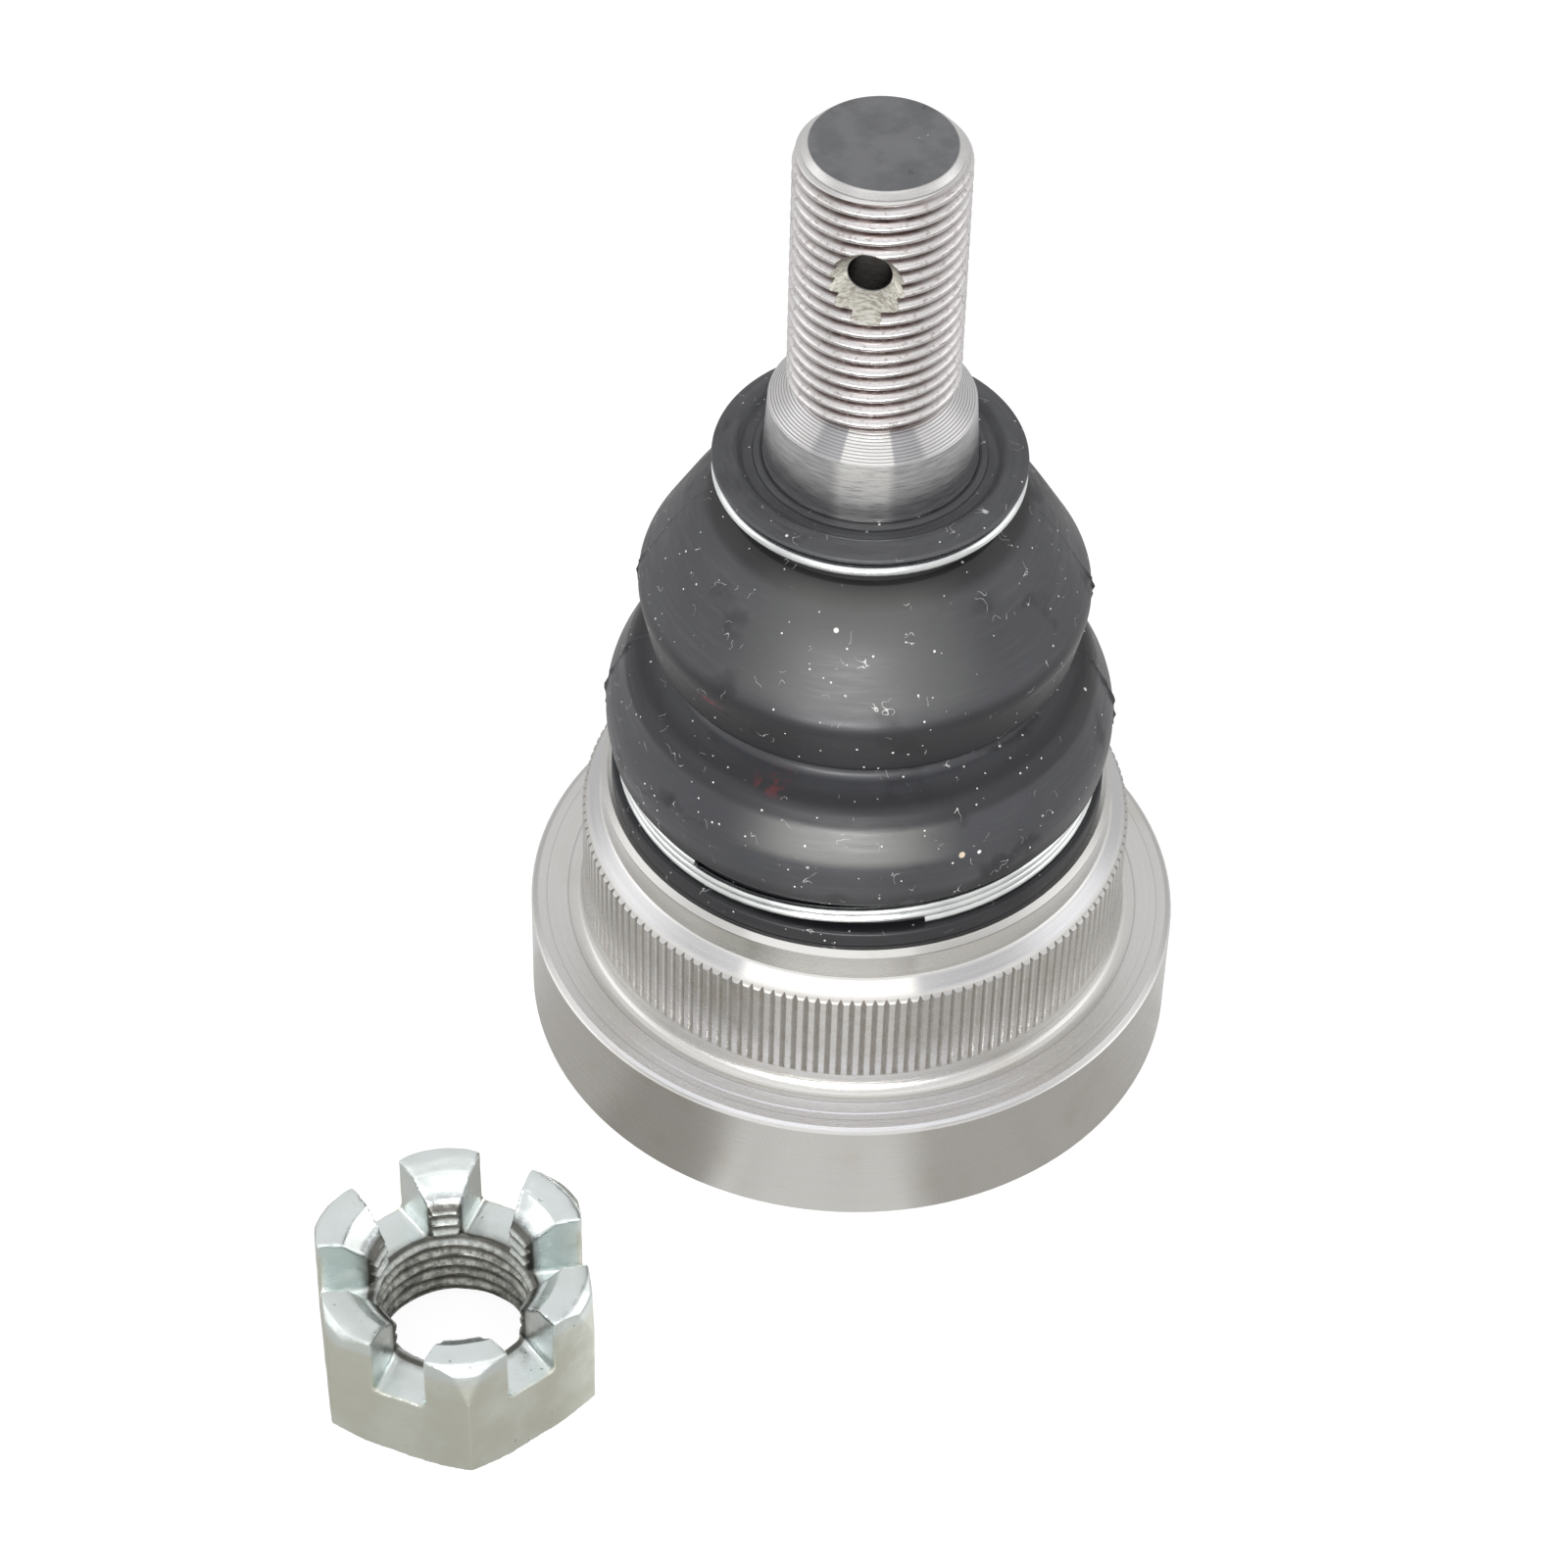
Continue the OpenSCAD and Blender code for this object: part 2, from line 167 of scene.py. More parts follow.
class FinishColours(bpy.types.PropertyGroup):
    steel: FloatVectorProperty(
        name="Turned steel", description="Colour of the housing's turned faces",
        default=(0.64, 0.63, 0.61), subtype="COLOR", min=0, max=1,
    )
    stud: FloatVectorProperty(
        name="Stud steel", description="Colour of the stud's turned faces",
        default=(0.60, 0.595, 0.59), subtype="COLOR", min=0, max=1,
    )
    rubber: FloatVectorProperty(
        name="Rubber", description="Colour of the boot's rubber",
        default=(0.030, 0.0305, 0.035), subtype="COLOR", min=0, max=1,
    )
    zinc: FloatVectorProperty(
        name="Zinc plating", description="Colour of the nut's plating",
        default=(0.79, 0.845, 0.84), subtype="COLOR", min=0, max=1,
    )
    wire: FloatVectorProperty(
        name="Clamp wire", description="Colour of the clamps' bright wire",
        default=(0.86, 0.88, 0.88), subtype="COLOR", min=0, max=1,
    )


class StageSettings(bpy.types.PropertyGroup):
    lens: FloatProperty(
        name="Lens", description="Focal length of the camera", default=112.0, min=20, max=300, unit="CAMERA",
    )
    top_power: FloatProperty(
        name="Top softbox", description="Power of the softbox overhead", default=1.6, min=0, unit="POWER",
    )
    front_power: FloatProperty(
        name="Front softbox", description="Power of the low softbox in front", default=6.9, min=0, unit="POWER",
    )
    camera_power: FloatProperty(
        name="Camera softbox", description="Power of the wide softbox round the camera", default=0.75, min=0,
        unit="POWER",
    )
    side_power: FloatProperty(
        name="Side softboxes", description="Power of each softbox at the sides", default=0.7, min=0,
        unit="POWER",
    )
    room_light: FloatProperty(
        name="Room light", description="Strength of the pale room round the object", default=0.82, min=0,
    )


GROUPS = {
    "joint_stud": StudSizes,
    "joint_boot": BootSizes,
    "joint_clamps": ClampSizes,
    "joint_nut": NutSizes,
    "joint_colours": FinishColours,
    "joint_stage": StageSettings,
}


# Modelling

def deselect_all():
    """Leaves edit mode and selects nothing, so that an operator acts on the new piece alone."""
    if bpy.context.object and bpy.context.object.mode != "OBJECT":
        bpy.ops.object.mode_set(mode="OBJECT")
    bpy.ops.object.select_all(action="DESELECT")


def named(name):
    """The object just added, under its name."""
    piece = bpy.context.object
    piece.name = name
    piece.data.name = name
    return piece


def make_active(piece):
    """Selects one piece alone and makes it the active one."""
    deselect_all()
    piece.select_set(True)
    bpy.context.view_layer.objects.active = piece


def edit(piece):
    """Opens a piece in edit mode with all of it selected."""
    make_active(piece)
    bpy.ops.object.mode_set(mode="EDIT")
    bpy.ops.mesh.select_mode(type="VERT")
    bpy.ops.mesh.select_all(action="SELECT")


def modify(piece, kind, **settings):
    """Adds a modifier with its settings to the active piece and applies it."""
    bpy.ops.object.modifier_add(type=kind)
    modifier = piece.modifiers[-1]
    for name, value in settings.items():
        setattr(modifier, name, value)
    bpy.ops.object.modifier_apply(modifier=modifier.name)


def close_edit():
    """Merges doubles, points the faces outwards and leaves edit mode."""
    bpy.ops.mesh.select_all(action="SELECT")
    bpy.ops.mesh.remove_doubles(threshold=0.001 * MM)
    bpy.ops.mesh.normals_make_consistent(inside=False)
    bpy.ops.object.mode_set(mode="OBJECT")


def turned(name, outline, sides=128, closed=False):
    """A turned solid: a disc at the outline's first (radius, height), drawn up ring by ring through the others.
    With closed, the last ring meets the first and the solid is a ring."""
    deselect_all()
    radius, height = outline[0]
    bpy.ops.mesh.primitive_circle_add(
        vertices=sides, radius=radius, location=(0, 0, height), fill_type="NOTHING" if closed else "NGON",
    )
    piece = named(name)
    bpy.ops.object.transform_apply(location=True, rotation=True, scale=True)
    edit(piece)
    stations = outline + outline[:1] if closed else outline
    for (r0, z0), (r1, z1) in zip(stations, stations[1:]):
        bpy.ops.mesh.extrude_region_move(TRANSFORM_OT_translate={"value": (0, 0, z1 - z0)})
        bpy.ops.transform.resize(value=(r1 / r0, r1 / r0, 1), center_override=(0, 0, z1))
    close_edit()
    return piece


def coil(name, section, pitch, turns, start=0.0, steps_a_turn=96, climb=None):
    """A closed section of (radius, height) points, carried round the vertical axis while it climbs. It climbs
    evenly, or as climb tells for a number of turns."""
    deselect_all()
    bpy.ops.mesh.primitive_circle_add(vertices=len(section), radius=MM, fill_type="NOTHING")
    piece = named(name)
    for vertex, (radius, height) in zip(piece.data.vertices, section):
        vertex.co = (radius * math.cos(start), radius * math.sin(start), height)
    steps = round(steps_a_turn * turns)
    modify(
        piece, "SCREW", axis="Z", angle=FULL_TURN * turns, screw_offset=pitch * turns,
        steps=steps, render_steps=steps,
    )
    if climb:
        for index, vertex in enumerate(piece.data.vertices):
            step, point = divmod(index, len(section))
            vertex.co.z = section[point][1] + climb(step / steps_a_turn)
    edit(piece)
    bpy.ops.mesh.select_all(action="DESELECT")
    bpy.ops.mesh.select_non_manifold()
    bpy.ops.mesh.fill_holes(sides=0)
    close_edit()
    return piece


def boolean(piece, operation, tool):
    """Joins, cuts or trims a piece with a tool, which is used up."""
    make_active(piece)
    modify(piece, "BOOLEAN", operation=operation, solver="EXACT", object=tool)
    bpy.data.objects.remove(tool)


def shade(piece, degrees=32):
    """Smooth shading with sharp edges past an angle."""
    make_active(piece)
    bpy.ops.object.shade_smooth_by_angle(angle=math.radians(degrees))


def finish_piece(piece, material, replaced):
    """Gives a piece its material and lets it stand for its CAD node."""
    piece.data.materials.clear()
    piece.data.materials.append(material)
    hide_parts(replaced)


def arc(centre, radius, first, last, steps=8):
    """Points of an arc between two angles in degrees, measured from outwards and up."""
    angles = (math.radians(first + (last - first) * i / steps) for i in range(steps + 1))
    return [(centre[0] + radius * math.cos(a), centre[1] + radius * math.sin(a)) for a in angles]


def rounded(corners, steps=8):
    """An open outline through (radius, height, rounding) corners, each rounded by its own arc."""
    points = [corners[0][:2]]
    for before, corner, after in zip(corners, corners[1:], corners[2:]):
        here = Vector(corner[:2])
        if corner[2] == 0:
            points.append(tuple(here))
            continue
        back = (Vector(before[:2]) - here).normalized()
        onward = (Vector(after[:2]) - here).normalized()
        half = back.angle(onward) / 2
        reach = corner[2] / math.tan(half)
        centre = here + (back + onward).normalized() * corner[2] / math.sin(half)
        start = here + back * reach - centre
        sweep = start.angle_signed(here + onward * reach - centre)
        for i in range(steps + 1):
            angle = -sweep * i / steps
            turn = Matrix(((math.cos(angle), -math.sin(angle)), (math.sin(angle), math.cos(angle))))
            points.append(tuple(centre + turn @ start))
    return points + [corners[-1][:2]]


def divided(outline, longest):
    """An outline with its long stretches divided evenly."""
    points = [outline[0]]
    for a, b in zip(outline, outline[1:]):
        count = max(1, math.ceil(math.dist(a, b) / longest))
        points += [tuple(a[k] + (b[k] - a[k]) * i / count for k in (0, 1)) for i in range(1, count + 1)]
    return points


def thread_tooth(root, crest, pitch):
    """Section of a thread's ridge with a rounded crest. It stands on a core at root and starts inside it."""
    depth = crest - root
    half = [  # distance from the crest's middle and rise, as shares of the pitch and the depth
        (0.03, 1.0), (0.10, 0.965), (0.16, 0.88), (0.22, 0.73),
        (0.29, 0.53), (0.36, 0.31), (0.42, 0.13), (0.47, 0.0),
    ]
    upper = [(root + depth * rise, pitch * offset) for offset, rise in half]
    flank = upper + [(root - 0.4 * MM, upper[-1][1])]
    return [(radius, -offset) for radius, offset in reversed(flank)] + flank


# Shaders

class Value:
    """A number that varies over a surface. Arithmetic on it adds Math nodes."""

    def __init__(self, shader, socket):
        self.shader = shader
        self.socket = socket

    def of(self, output):
        """Another output of the same node."""
        return Value(self.shader, self.socket.node.outputs[output])

    def maths(self, operation, *others):
        """A Math node with this value first."""
        return self.shader.node("ShaderNodeMath", {"operation": operation}, dict(enumerate((self, *others))))

    def __add__(self, other):
        return self.maths("ADD", other)

    def __sub__(self, other):
        return self.maths("SUBTRACT", other)

    def __rsub__(self, other):
        return self.shader.node("ShaderNodeMath", {"operation": "SUBTRACT"}, {0: other, 1: self})

    def __mul__(self, other):
        return self.maths("MULTIPLY", other)

    def __truediv__(self, other):
        return self.maths("DIVIDE", other)

    def __pow__(self, other):
        return self.maths("POWER", other)

    def between(self, low, high, to_low=0.0, to_high=1.0):
        """This value's way from low to high, smoothly and within limits."""
        return self.shader.node(
            "ShaderNodeMapRange", {"interpolation_type": "SMOOTHSTEP", "clamp": True},
            {"Value": self, "From Min": low, "From Max": high, "To Min": to_low, "To Max": to_high},
        )

    def mm(self, low, high):
        """A length's way between two limits in millimetres."""
        return self.between(low * MM, high * MM)

    def degrees(self, low, high):
        """An angle's way between two limits in degrees."""
        return self.between(math.radians(low), math.radians(high))

    def band(self, foot, full, ebb, end):
        """1 along a stretch in millimetres, with a rise from foot to full and a fall from ebb to end."""
        return self.mm(foot, full) * self.mm(end, ebb)

    def apart(self, centre):
        """Distance from a centre, to either side."""
        return (self - centre).maths("ABSOLUTE")

    def most(self, other):
        """The larger of two values."""
        return self.maths("MAXIMUM", other)


class Shader:
    """A material whose nodes are added by one method."""

    def __init__(self, name):
        self.material = bpy.data.materials.new(name)
        self.material.use_nodes = True
        self.tree = self.material.node_tree
        self.surface = self.tree.nodes["Principled BSDF"]
        self.output = self.tree.nodes["Material Output"]

    def node(self, kind, settings=None, inputs=None, output=0):
        """Adds a node, sets it up, then gives its sockets their values and links."""
        made = self.tree.nodes.new(kind)
        for name, value in (settings or {}).items():
            setattr(made, name, value)
        for key, value in (inputs or {}).items():
            self.feed(made.inputs[key], value)
        return Value(self, made.outputs[output])

    def feed(self, socket, value):
        """Links a Value to a socket, or gives the socket a plain value."""
        if isinstance(value, Value):
            self.tree.links.new(value.socket, socket)
        elif socket.type == "RGBA" and len(value) == 3:
            socket.default_value = (*value, 1)
        else:
            socket.default_value = value

    def place(self, centre=(0, 0, 0)):
        """Object coordinates, counted from a centre."""
        here = self.node("ShaderNodeTexCoord", output="Object")
        return self.vector_maths("SUBTRACT", here, centre)

    def round_place(self, centre=(0, 0, 0)):
        """Distance from a vertical axis through a centre, angle about it and height, in metres and radians."""
        split = self.node("ShaderNodeSeparateXYZ", inputs={0: self.place(centre)})
        x, y, z = split.of("X"), split.of("Y"), split.of("Z")
        return (x * x + y * y) ** 0.5, y.maths("ARCTAN2", x), z

    def vector(self, x, y, z):
        return self.node("ShaderNodeCombineXYZ", inputs={0: x, 1: y, 2: z})

    def vector_maths(self, operation, *vectors, output=0):
        return self.node("ShaderNodeVectorMath", {"operation": operation}, dict(enumerate(vectors)), output)

    def noise(self, place, scale, detail=2.0, roughness=0.5):
        return self.node(
            "ShaderNodeTexNoise", {"noise_dimensions": "3D"},
            {"Vector": place, "Scale": scale, "Detail": detail, "Roughness": roughness},
        )

    def mix(self, factor, first, second):
        """Colour first where factor is 0 and second where it is 1."""
        mixed = self.node("ShaderNodeMix", {"data_type": "RGBA"}, {"Factor": factor})
        self.feed(mixed.socket.node.inputs[6], first)
        self.feed(mixed.socket.node.inputs[7], second)
        return Value(self, mixed.socket.node.outputs[2])

    def layers(self, colour, *coats):
        """A colour under coats of (factor, colour), laid on in their order."""
        for factor, coat in coats:
            colour = self.mix(factor, colour, coat)
        return colour

    def bump(self, height, distance, strength=1.0, normal=None):
        """A normal from a height, on top of an earlier normal where one is given."""
        inputs = {"Height": height, "Distance": distance, "Strength": strength}
        if normal:
            inputs["Normal"] = normal
        return self.node("ShaderNodeBump", inputs=inputs)

    def set(self, **sockets):
        """Feeds the shader's sockets, named with underscores for spaces."""
        for name, value in sockets.items():
            self.feed(self.surface.inputs[name.replace("_", " ").title()], value)
        return self.material


def lathe_marks(shader, radius, angle, height, spacing):
    """Turning marks: fine rings on every face about the axis, with a slow wander along them."""
    rings = shader.vector(radius / spacing, height / spacing, angle * 0.5)
    return shader.noise(rings, 1.0, detail=3.0, roughness=0.7)


def dust_specks(shader, place, scale, rarity, size):
    """Round specks in a few cells of a loose lattice, each with its own size."""
    cell = shader.node("ShaderNodeTexVoronoi", {"feature": "F1"}, {"Vector": place, "Scale": scale}, "Distance")
    pick = shader.node("ShaderNodeSeparateColor", inputs={0: cell.of("Color")})
    return (pick.of("Red").between(rarity, 1.0, 0.0, size) - cell).between(0.0, 0.03)


def turned_steel(colours):
    """The housing: bright turned steel with faint brown stains and painted shade, tinted brown, in the knurl's
    grooves.
    In front, painted highlights brighten the knurl's chamfer and the flange's seat; elsewhere painted shade
    darkens the chamfer, the flange's edge, the teeth and the shoulder, and a painted highlight lightens the pilot
    wall."""
    shader = Shader("turned_steel")
    place = shader.place()
    radius, angle, height = shader.round_place()
    marks = lathe_marks(shader, radius, angle, height, 0.16 * MM)
    broad = shader.noise(shader.vector(radius / MM, height / MM, angle * 1.2), 0.9, detail=3.0)
    stain = shader.noise(place, 190.0, detail=4.0).between(0.55, 0.78)
    knurl = height.band(14.9, 15.0, 25.2, 25.9)
    crest = BAND_RADIUS / MM - 0.05
    # Painted shade, tinted brown, darkens the knurl's grooves, more where they are deeper.
    groove = radius.band(22, 24, crest - 0.26, crest - 0.03) * knurl
    crest_stain = shader.noise(place, 900.0, detail=3.0).between(0.45, 0.7) * knurl
    # Painted reflections of the lamps in front: in_front marks the housing's front, behind the rest of it.
    aside = angle.apart(HOUSING_FRONT)
    in_front = aside.degrees(21, 17)
    behind = 1 - in_front
    chamfer = height.band(24.95, 25.05, 27.0, 27.1) * radius.mm(25.3, 25.35) * (1 - groove)
    flange_edge = radius.mm(31.55, 31.7) * height.mm(12.2, 12.3)
    teeth = height.band(25.0, 25.06, 25.35, 25.5)
    pilot = height.band(26.9, 27.0, 29.4, 29.5) * radius.mm(24, 24.5)
    shoulder = height.mm(29.45, 29.55) * radius.mm(24, 24.3)
    seat = height.band(12.3, 12.4, 13.1, 13.2)
    # Painted highlight on the flange's seat in front.
    seat_highlight = seat * aside.degrees(50, 25) * radius.mm(28.3, 28.6)
    inner_line = radius.apart(28.55 * MM).mm(0.12, 0.05)
    outer_line = radius.apart(30.7 * MM).mm(0.10, 0.04) * 0.7
    colour = shader.layers(
        colours.steel,
        (broad.between(0.3, 0.75) * 0.35, (0.66, 0.655, 0.66)),
        (stain * 0.25, (0.50, 0.44, 0.36)),
        (crest_stain * 0.35, (0.52, 0.48, 0.42)),
        # Painted shade in the knurl's grooves.
        (groove * 0.35, (0.32, 0.285, 0.25)),
        # A painted highlight on the chamfer in front; away from the front, painted shade on the chamfer, the
        # flange's edge, the teeth and the shoulder, and a painted highlight on the pilot wall.
        (chamfer * in_front, (0.90, 0.885, 0.85)),
        (chamfer * behind * 0.8, (0.50, 0.50, 0.515)),
        (flange_edge * behind * 0.7, (0.42, 0.415, 0.41)),
        (teeth * behind * 0.55, (0.40, 0.395, 0.385)),
        (pilot * behind, (0.82, 0.815, 0.79)),
        (shoulder * behind * 0.8, (0.50, 0.495, 0.48)),
        (seat_highlight * 0.8, (0.82, 0.82, 0.85)),
        (inner_line.most(outer_line) * seat * 0.45, (0.30, 0.30, 0.31)),
    )
    roughness = marks.between(0.3, 0.7, 0.22, 0.34) + groove * 0.25
    normal = shader.bump(marks, 0.012 * MM, 1.0)
    normal = shader.bump(shader.noise(place, 4200.0, detail=2.0), 0.004 * MM, 0.6, normal)
    return shader.set(base_color=colour, metallic=1.0, roughness=roughness, anisotropic=0.7, normal=normal)


def cotter_sink(shader, sizes):
    """Masks of the cotter hole's countersinks and of its bore."""
    from_hole = shader.place(COTTER_PLACE)
    depth = shader.vector_maths("DOT_PRODUCT", from_hole, COTTER_AXIS, output="Value").maths("ABSOLUTE")
    sideways = shader.vector_maths("CROSS_PRODUCT", from_hole, COTTER_AXIS)
    away = shader.vector_maths("LENGTH", sideways, output="Value")
    slope = (sizes.countersink / 2 - COTTER_RADIUS) / sizes.sink_depth
    past = away - COTTER_RADIUS - (depth - (THREAD_RADIUS - sizes.sink_depth)) * slope
    bore = COTTER_RADIUS / MM
    return past.mm(0.09, 0.04) * depth.mm(2, 4), away.mm(bore + 0.08, bore + 0.02)


def stud_steel(colours, thread_foot, top, sizes):
    """The stud: turned steel, dark brown in the thread's valleys (partly dirt, partly painted shade), a dark end
    face and a dull countersink with painted shade in its upper part and in the hole's bore. The taper and the cone
    over it have a painted highlight in front, with painted dark reflections beside it on the cone."""
    shader = Shader("stud_steel")
    place = shader.place()
    radius, angle, height = shader.round_place()
    aside = angle.apart(STUD_FRONT)
    marks = lathe_marks(shader, radius, angle, height, 0.14 * MM)
    patchy = shader.noise(place, 420.0, detail=4.0)
    in_thread = height.between(thread_foot - 0.4 * MM, thread_foot)
    in_thread = in_thread * height.between(top - 0.9 * MM, top - 1.3 * MM)
    crest = THREAD_RADIUS / MM
    # The thread's valleys are dark brown: partly dirt, partly painted shade that is strongest in front.
    valley = radius.band(5.6, 6.4, crest - 0.6, crest - 0.2) * in_thread
    valley = valley * aside.between(math.radians(60), math.radians(20), 0.65, 1.0)
    along_thread = shader.vector(radius / (0.4 * MM), height / (0.4 * MM), angle * 14)
    worn = shader.noise(along_thread, 1.0, detail=4.0).between(0.52, 0.68) * in_thread

    on_taper = height.mm(78.3, 78.1)
    # Painted highlight: glow paints the lamps' reflection across the taper's front.
    glow = angle.apart(STUD_FRONT - math.radians(1.5)).degrees(19, 11)
    brushed = shader.noise(shader.vector(radius / MM, height / (0.11 * MM), angle * 5), 1.0, detail=3.0)
    taper_colour = shader.layers(
        (0.70, 0.70, 0.71),
        (brushed.between(0.35, 0.7), (0.42, 0.42, 0.44)),
        (glow * brushed.between(0.75, 0.45), (1.0, 1.0, 0.99)),
    )
    on_cone = height.band(78.1, 78.4, 80.2, 80.6)
    # Painted highlight on the cone's front, with painted dark reflections in sectors beside it.
    cone_highlight = aside.degrees(15.5, 13.5)
    cone_shade = aside.degrees(14, 16) * aside.degrees(36, 30)
    rings = (height * (FULL_TURN / (0.20 * MM))).maths("SINE")

    sink, bore = cotter_sink(shader, sizes)
    grime = shader.noise(place, 1500.0, detail=5.0, roughness=0.65)
    along_sink = shader.vector(angle * 9, height / (0.16 * MM), radius / (0.5 * MM))
    scratched = shader.noise(along_sink, 1.0, detail=4.0).between(0.38, 0.66)
    # Painted shade darkens the countersink's upper part, broken up by the grime noise.
    upper = height.between(COTTER_PLACE.z + 0.4 * MM, COTTER_PLACE.z + 2.4 * MM)
    sink_colour = shader.layers(
        (0.60, 0.59, 0.54),
        (scratched, (0.33, 0.305, 0.26)),
        (upper * grime.between(0.3, 0.55), (0.14, 0.12, 0.10)),
    )
    end_face = height.between(top - 0.05 * MM, top - 0.01 * MM) * radius.mm(6.75, 6.55)
    cloudy = shader.noise(place, 240.0, detail=5.0, roughness=0.6)
    face_colour = shader.layers(
        (0.15, 0.152, 0.16),
        (dust_specks(shader, place, 1300.0, 0.7, 0.13), (0.45, 0.45, 0.46)),
        (cloudy.between(0.42, 0.62), (0.115, 0.117, 0.122)),
        (cloudy.between(0.64, 0.72) * 0.6, (0.055, 0.055, 0.058)),
    )
    colour = shader.layers(
        colours.stud,
        (patchy.between(0.35, 0.7) * 0.3, (0.70, 0.67, 0.66)),
        (in_thread * 0.8, (0.68, 0.655, 0.655)),
        (valley * patchy.between(0.2, 0.6, 0.7, 1.0), (0.11, 0.078, 0.072)),
        (worn * 0.6, (0.34, 0.285, 0.27)),
        (on_taper, taper_colour),
        (cone_shade * on_cone * 0.55, (0.22, 0.22, 0.24)),
        (cone_highlight * on_cone * 0.5, (0.90, 0.89, 0.86)),
        (rings.between(0.1, 0.9) * on_cone * 0.75, (0.20, 0.195, 0.21)),
        (sink, sink_colour),
        # Painted shade darkens the cotter hole's bore.
        (bore, (0.24, 0.23, 0.22)),
        (end_face, face_colour),
    )
    metallic = (1 - sink * 0.5) * (1 - end_face * 0.9)
    roughness = marks.between(0.3, 0.7, 0.2, 0.32) + valley * 0.2 + sink * 0.35
    roughness = roughness + end_face * 0.3 + on_taper * 0.2
    normal = shader.bump(marks, 0.012 * MM, 1.0)
    normal = shader.bump(rings * on_cone, 0.012 * MM, 1.0, normal)
    normal = shader.bump(grime * (sink + in_thread * 0.5), 0.05 * MM, 0.8, normal)
    return shader.set(
        base_color=colour, metallic=metallic, roughness=roughness, anisotropic=0.85, normal=normal,
    )


def boot_dust(shader, place):
    """Pale specks of three sizes and short curls of lint."""
    small = dust_specks(shader, place, 900.0, 0.62, 0.13)
    tiny = dust_specks(shader, place, 1500.0, 0.80, 0.17)
    large = dust_specks(shader, place, 420.0, 0.90, 0.12)
    line = shader.noise(place, 640.0, detail=1.0).apart(0.5).between(0.006, 0.001)
    spot = shader.noise(place, 520.0, detail=0.0).between(0.69, 0.73)
    return small.most(large).most(tiny).most(line * spot * 0.8)


def boot_rubber(colours):
    """The boot: dull black rubber, hazy with dust, with pale specks, lint, smudges and a few scuffs. Both lobes
    have a painted highlight in front; painted shade darkens their undersides and the lower lobe's top, and painted
    shadow darkens the neck and the mouth."""
    shader = Shader("boot_rubber")
    place = shader.place()
    radius, angle, height = shader.round_place()
    aside = angle.apart(STUD_FRONT)
    haze = shader.noise(place, 75.0, detail=4.0).between(0.35, 0.72)
    scuffs = shader.noise(
        shader.vector(angle * 4, radius / (0.5 * MM), height / (0.5 * MM)), 1.0, detail=3.0, roughness=0.6,
    )
    dark = shader.noise(place, 130.0, detail=4.0).between(0.55, 0.66)
    rim = height.mm(69.9, 70.4)
    # Painted shadow in the mouth beside the stud and on the neck under the upper clamp.
    mouth = radius.mm(10.4, 10.2) * height.mm(70.5, 71)
    neck = height.band(65.4, 66.4, 70.0, 70.3)
    # Painted highlights: the sheens lighten both lobes in front.
    upper_sheen = height.band(56.6, 58.5, 66, 68) * aside.degrees(48, 15)
    lower_sheen = height.band(40.8, 41.8, 44.2, 45.0) * aside.degrees(30, 12)
    # Painted shade under both lobes and on the lower lobe's top.
    lower_top = height.band(44.2, 45.0, 46.5, 47.2)
    upper_under = height.band(49.0, 50.0, 56.0, 57.2)
    shaded = height.mm(38.4, 36.4).most(lower_top * 0.9).most(upper_under)
    torn = shader.noise(place, 900.0, detail=4.0).between(0.48, 0.62)
    smudges = [
        angle.apart(math.radians(turn)).degrees(6, 1) * height.apart(level * MM).mm(1.0, 0.2) * torn * 0.7
        for turn, level in ((-131, 54.5), (-113, 46.8))
    ]
    dust = boot_dust(shader, place)
    fleck = shader.vector_maths("LENGTH", shader.place(FLECK_PLACE), output="Value").mm(0.38, 0.24)
    colour = shader.layers(
        colours.rubber,
        (haze * 0.5, (0.052, 0.053, 0.060)),
        (scuffs.between(0.5, 0.75) * 0.3, (0.06, 0.06, 0.058)),
        (dark * 0.8, (0.008, 0.008, 0.011)),
        (rim * scuffs.between(0.3, 0.7, 0.35, 0.85), (0.058, 0.059, 0.064)),
        (mouth.most(neck) * 0.9, (0.004, 0.004, 0.005)),
        (upper_sheen * 0.6, (0.078, 0.079, 0.074)),
        (lower_sheen * 0.8, (0.105, 0.106, 0.100)),
        (shaded * 0.85, (0.009, 0.009, 0.011)),
        *((smudge, (0.105, 0.016, 0.022)) for smudge in smudges),
        (dust * 0.8, (0.68, 0.68, 0.66)),
        (fleck * 0.7, (0.66, 0.54, 0.40)),
    )
    roughness = scuffs.between(0.35, 0.7, 0.40, 0.33) + haze * 0.07 + dust * 0.3 + dark * 0.06
    roughness = roughness + height.mm(46, 42) * 0.03 + height.mm(56, 58) * 0.07 + lower_top * 0.16
    normal = shader.bump(shader.noise(place, 3200.0, detail=3.0), 0.02 * MM, 0.35)
    normal = shader.bump(scuffs, 0.03 * MM, 0.35, normal)
    return shader.set(base_color=colour, roughness=roughness, normal=normal)


def clamp_wire(colours):
    """Bright drawn wire with faint lines along it."""
    shader = Shader("clamp_wire")
    radius, angle, height = shader.round_place()
    drawn = shader.noise(shader.vector(radius / (0.09 * MM), height / (0.09 * MM), angle * 2), 1.0, detail=2.0)
    dull = shader.noise(shader.place(), 260.0, detail=3.0).between(0.4, 0.75)
    colour = shader.mix(dull * 0.4, colours.wire, (0.50, 0.52, 0.53))
    roughness = drawn.between(0.3, 0.7, 0.14, 0.30)
    normal = shader.bump(drawn, 0.01 * MM, 0.7)
    return shader.set(base_color=colour, metallic=1.0, roughness=roughness, normal=normal)


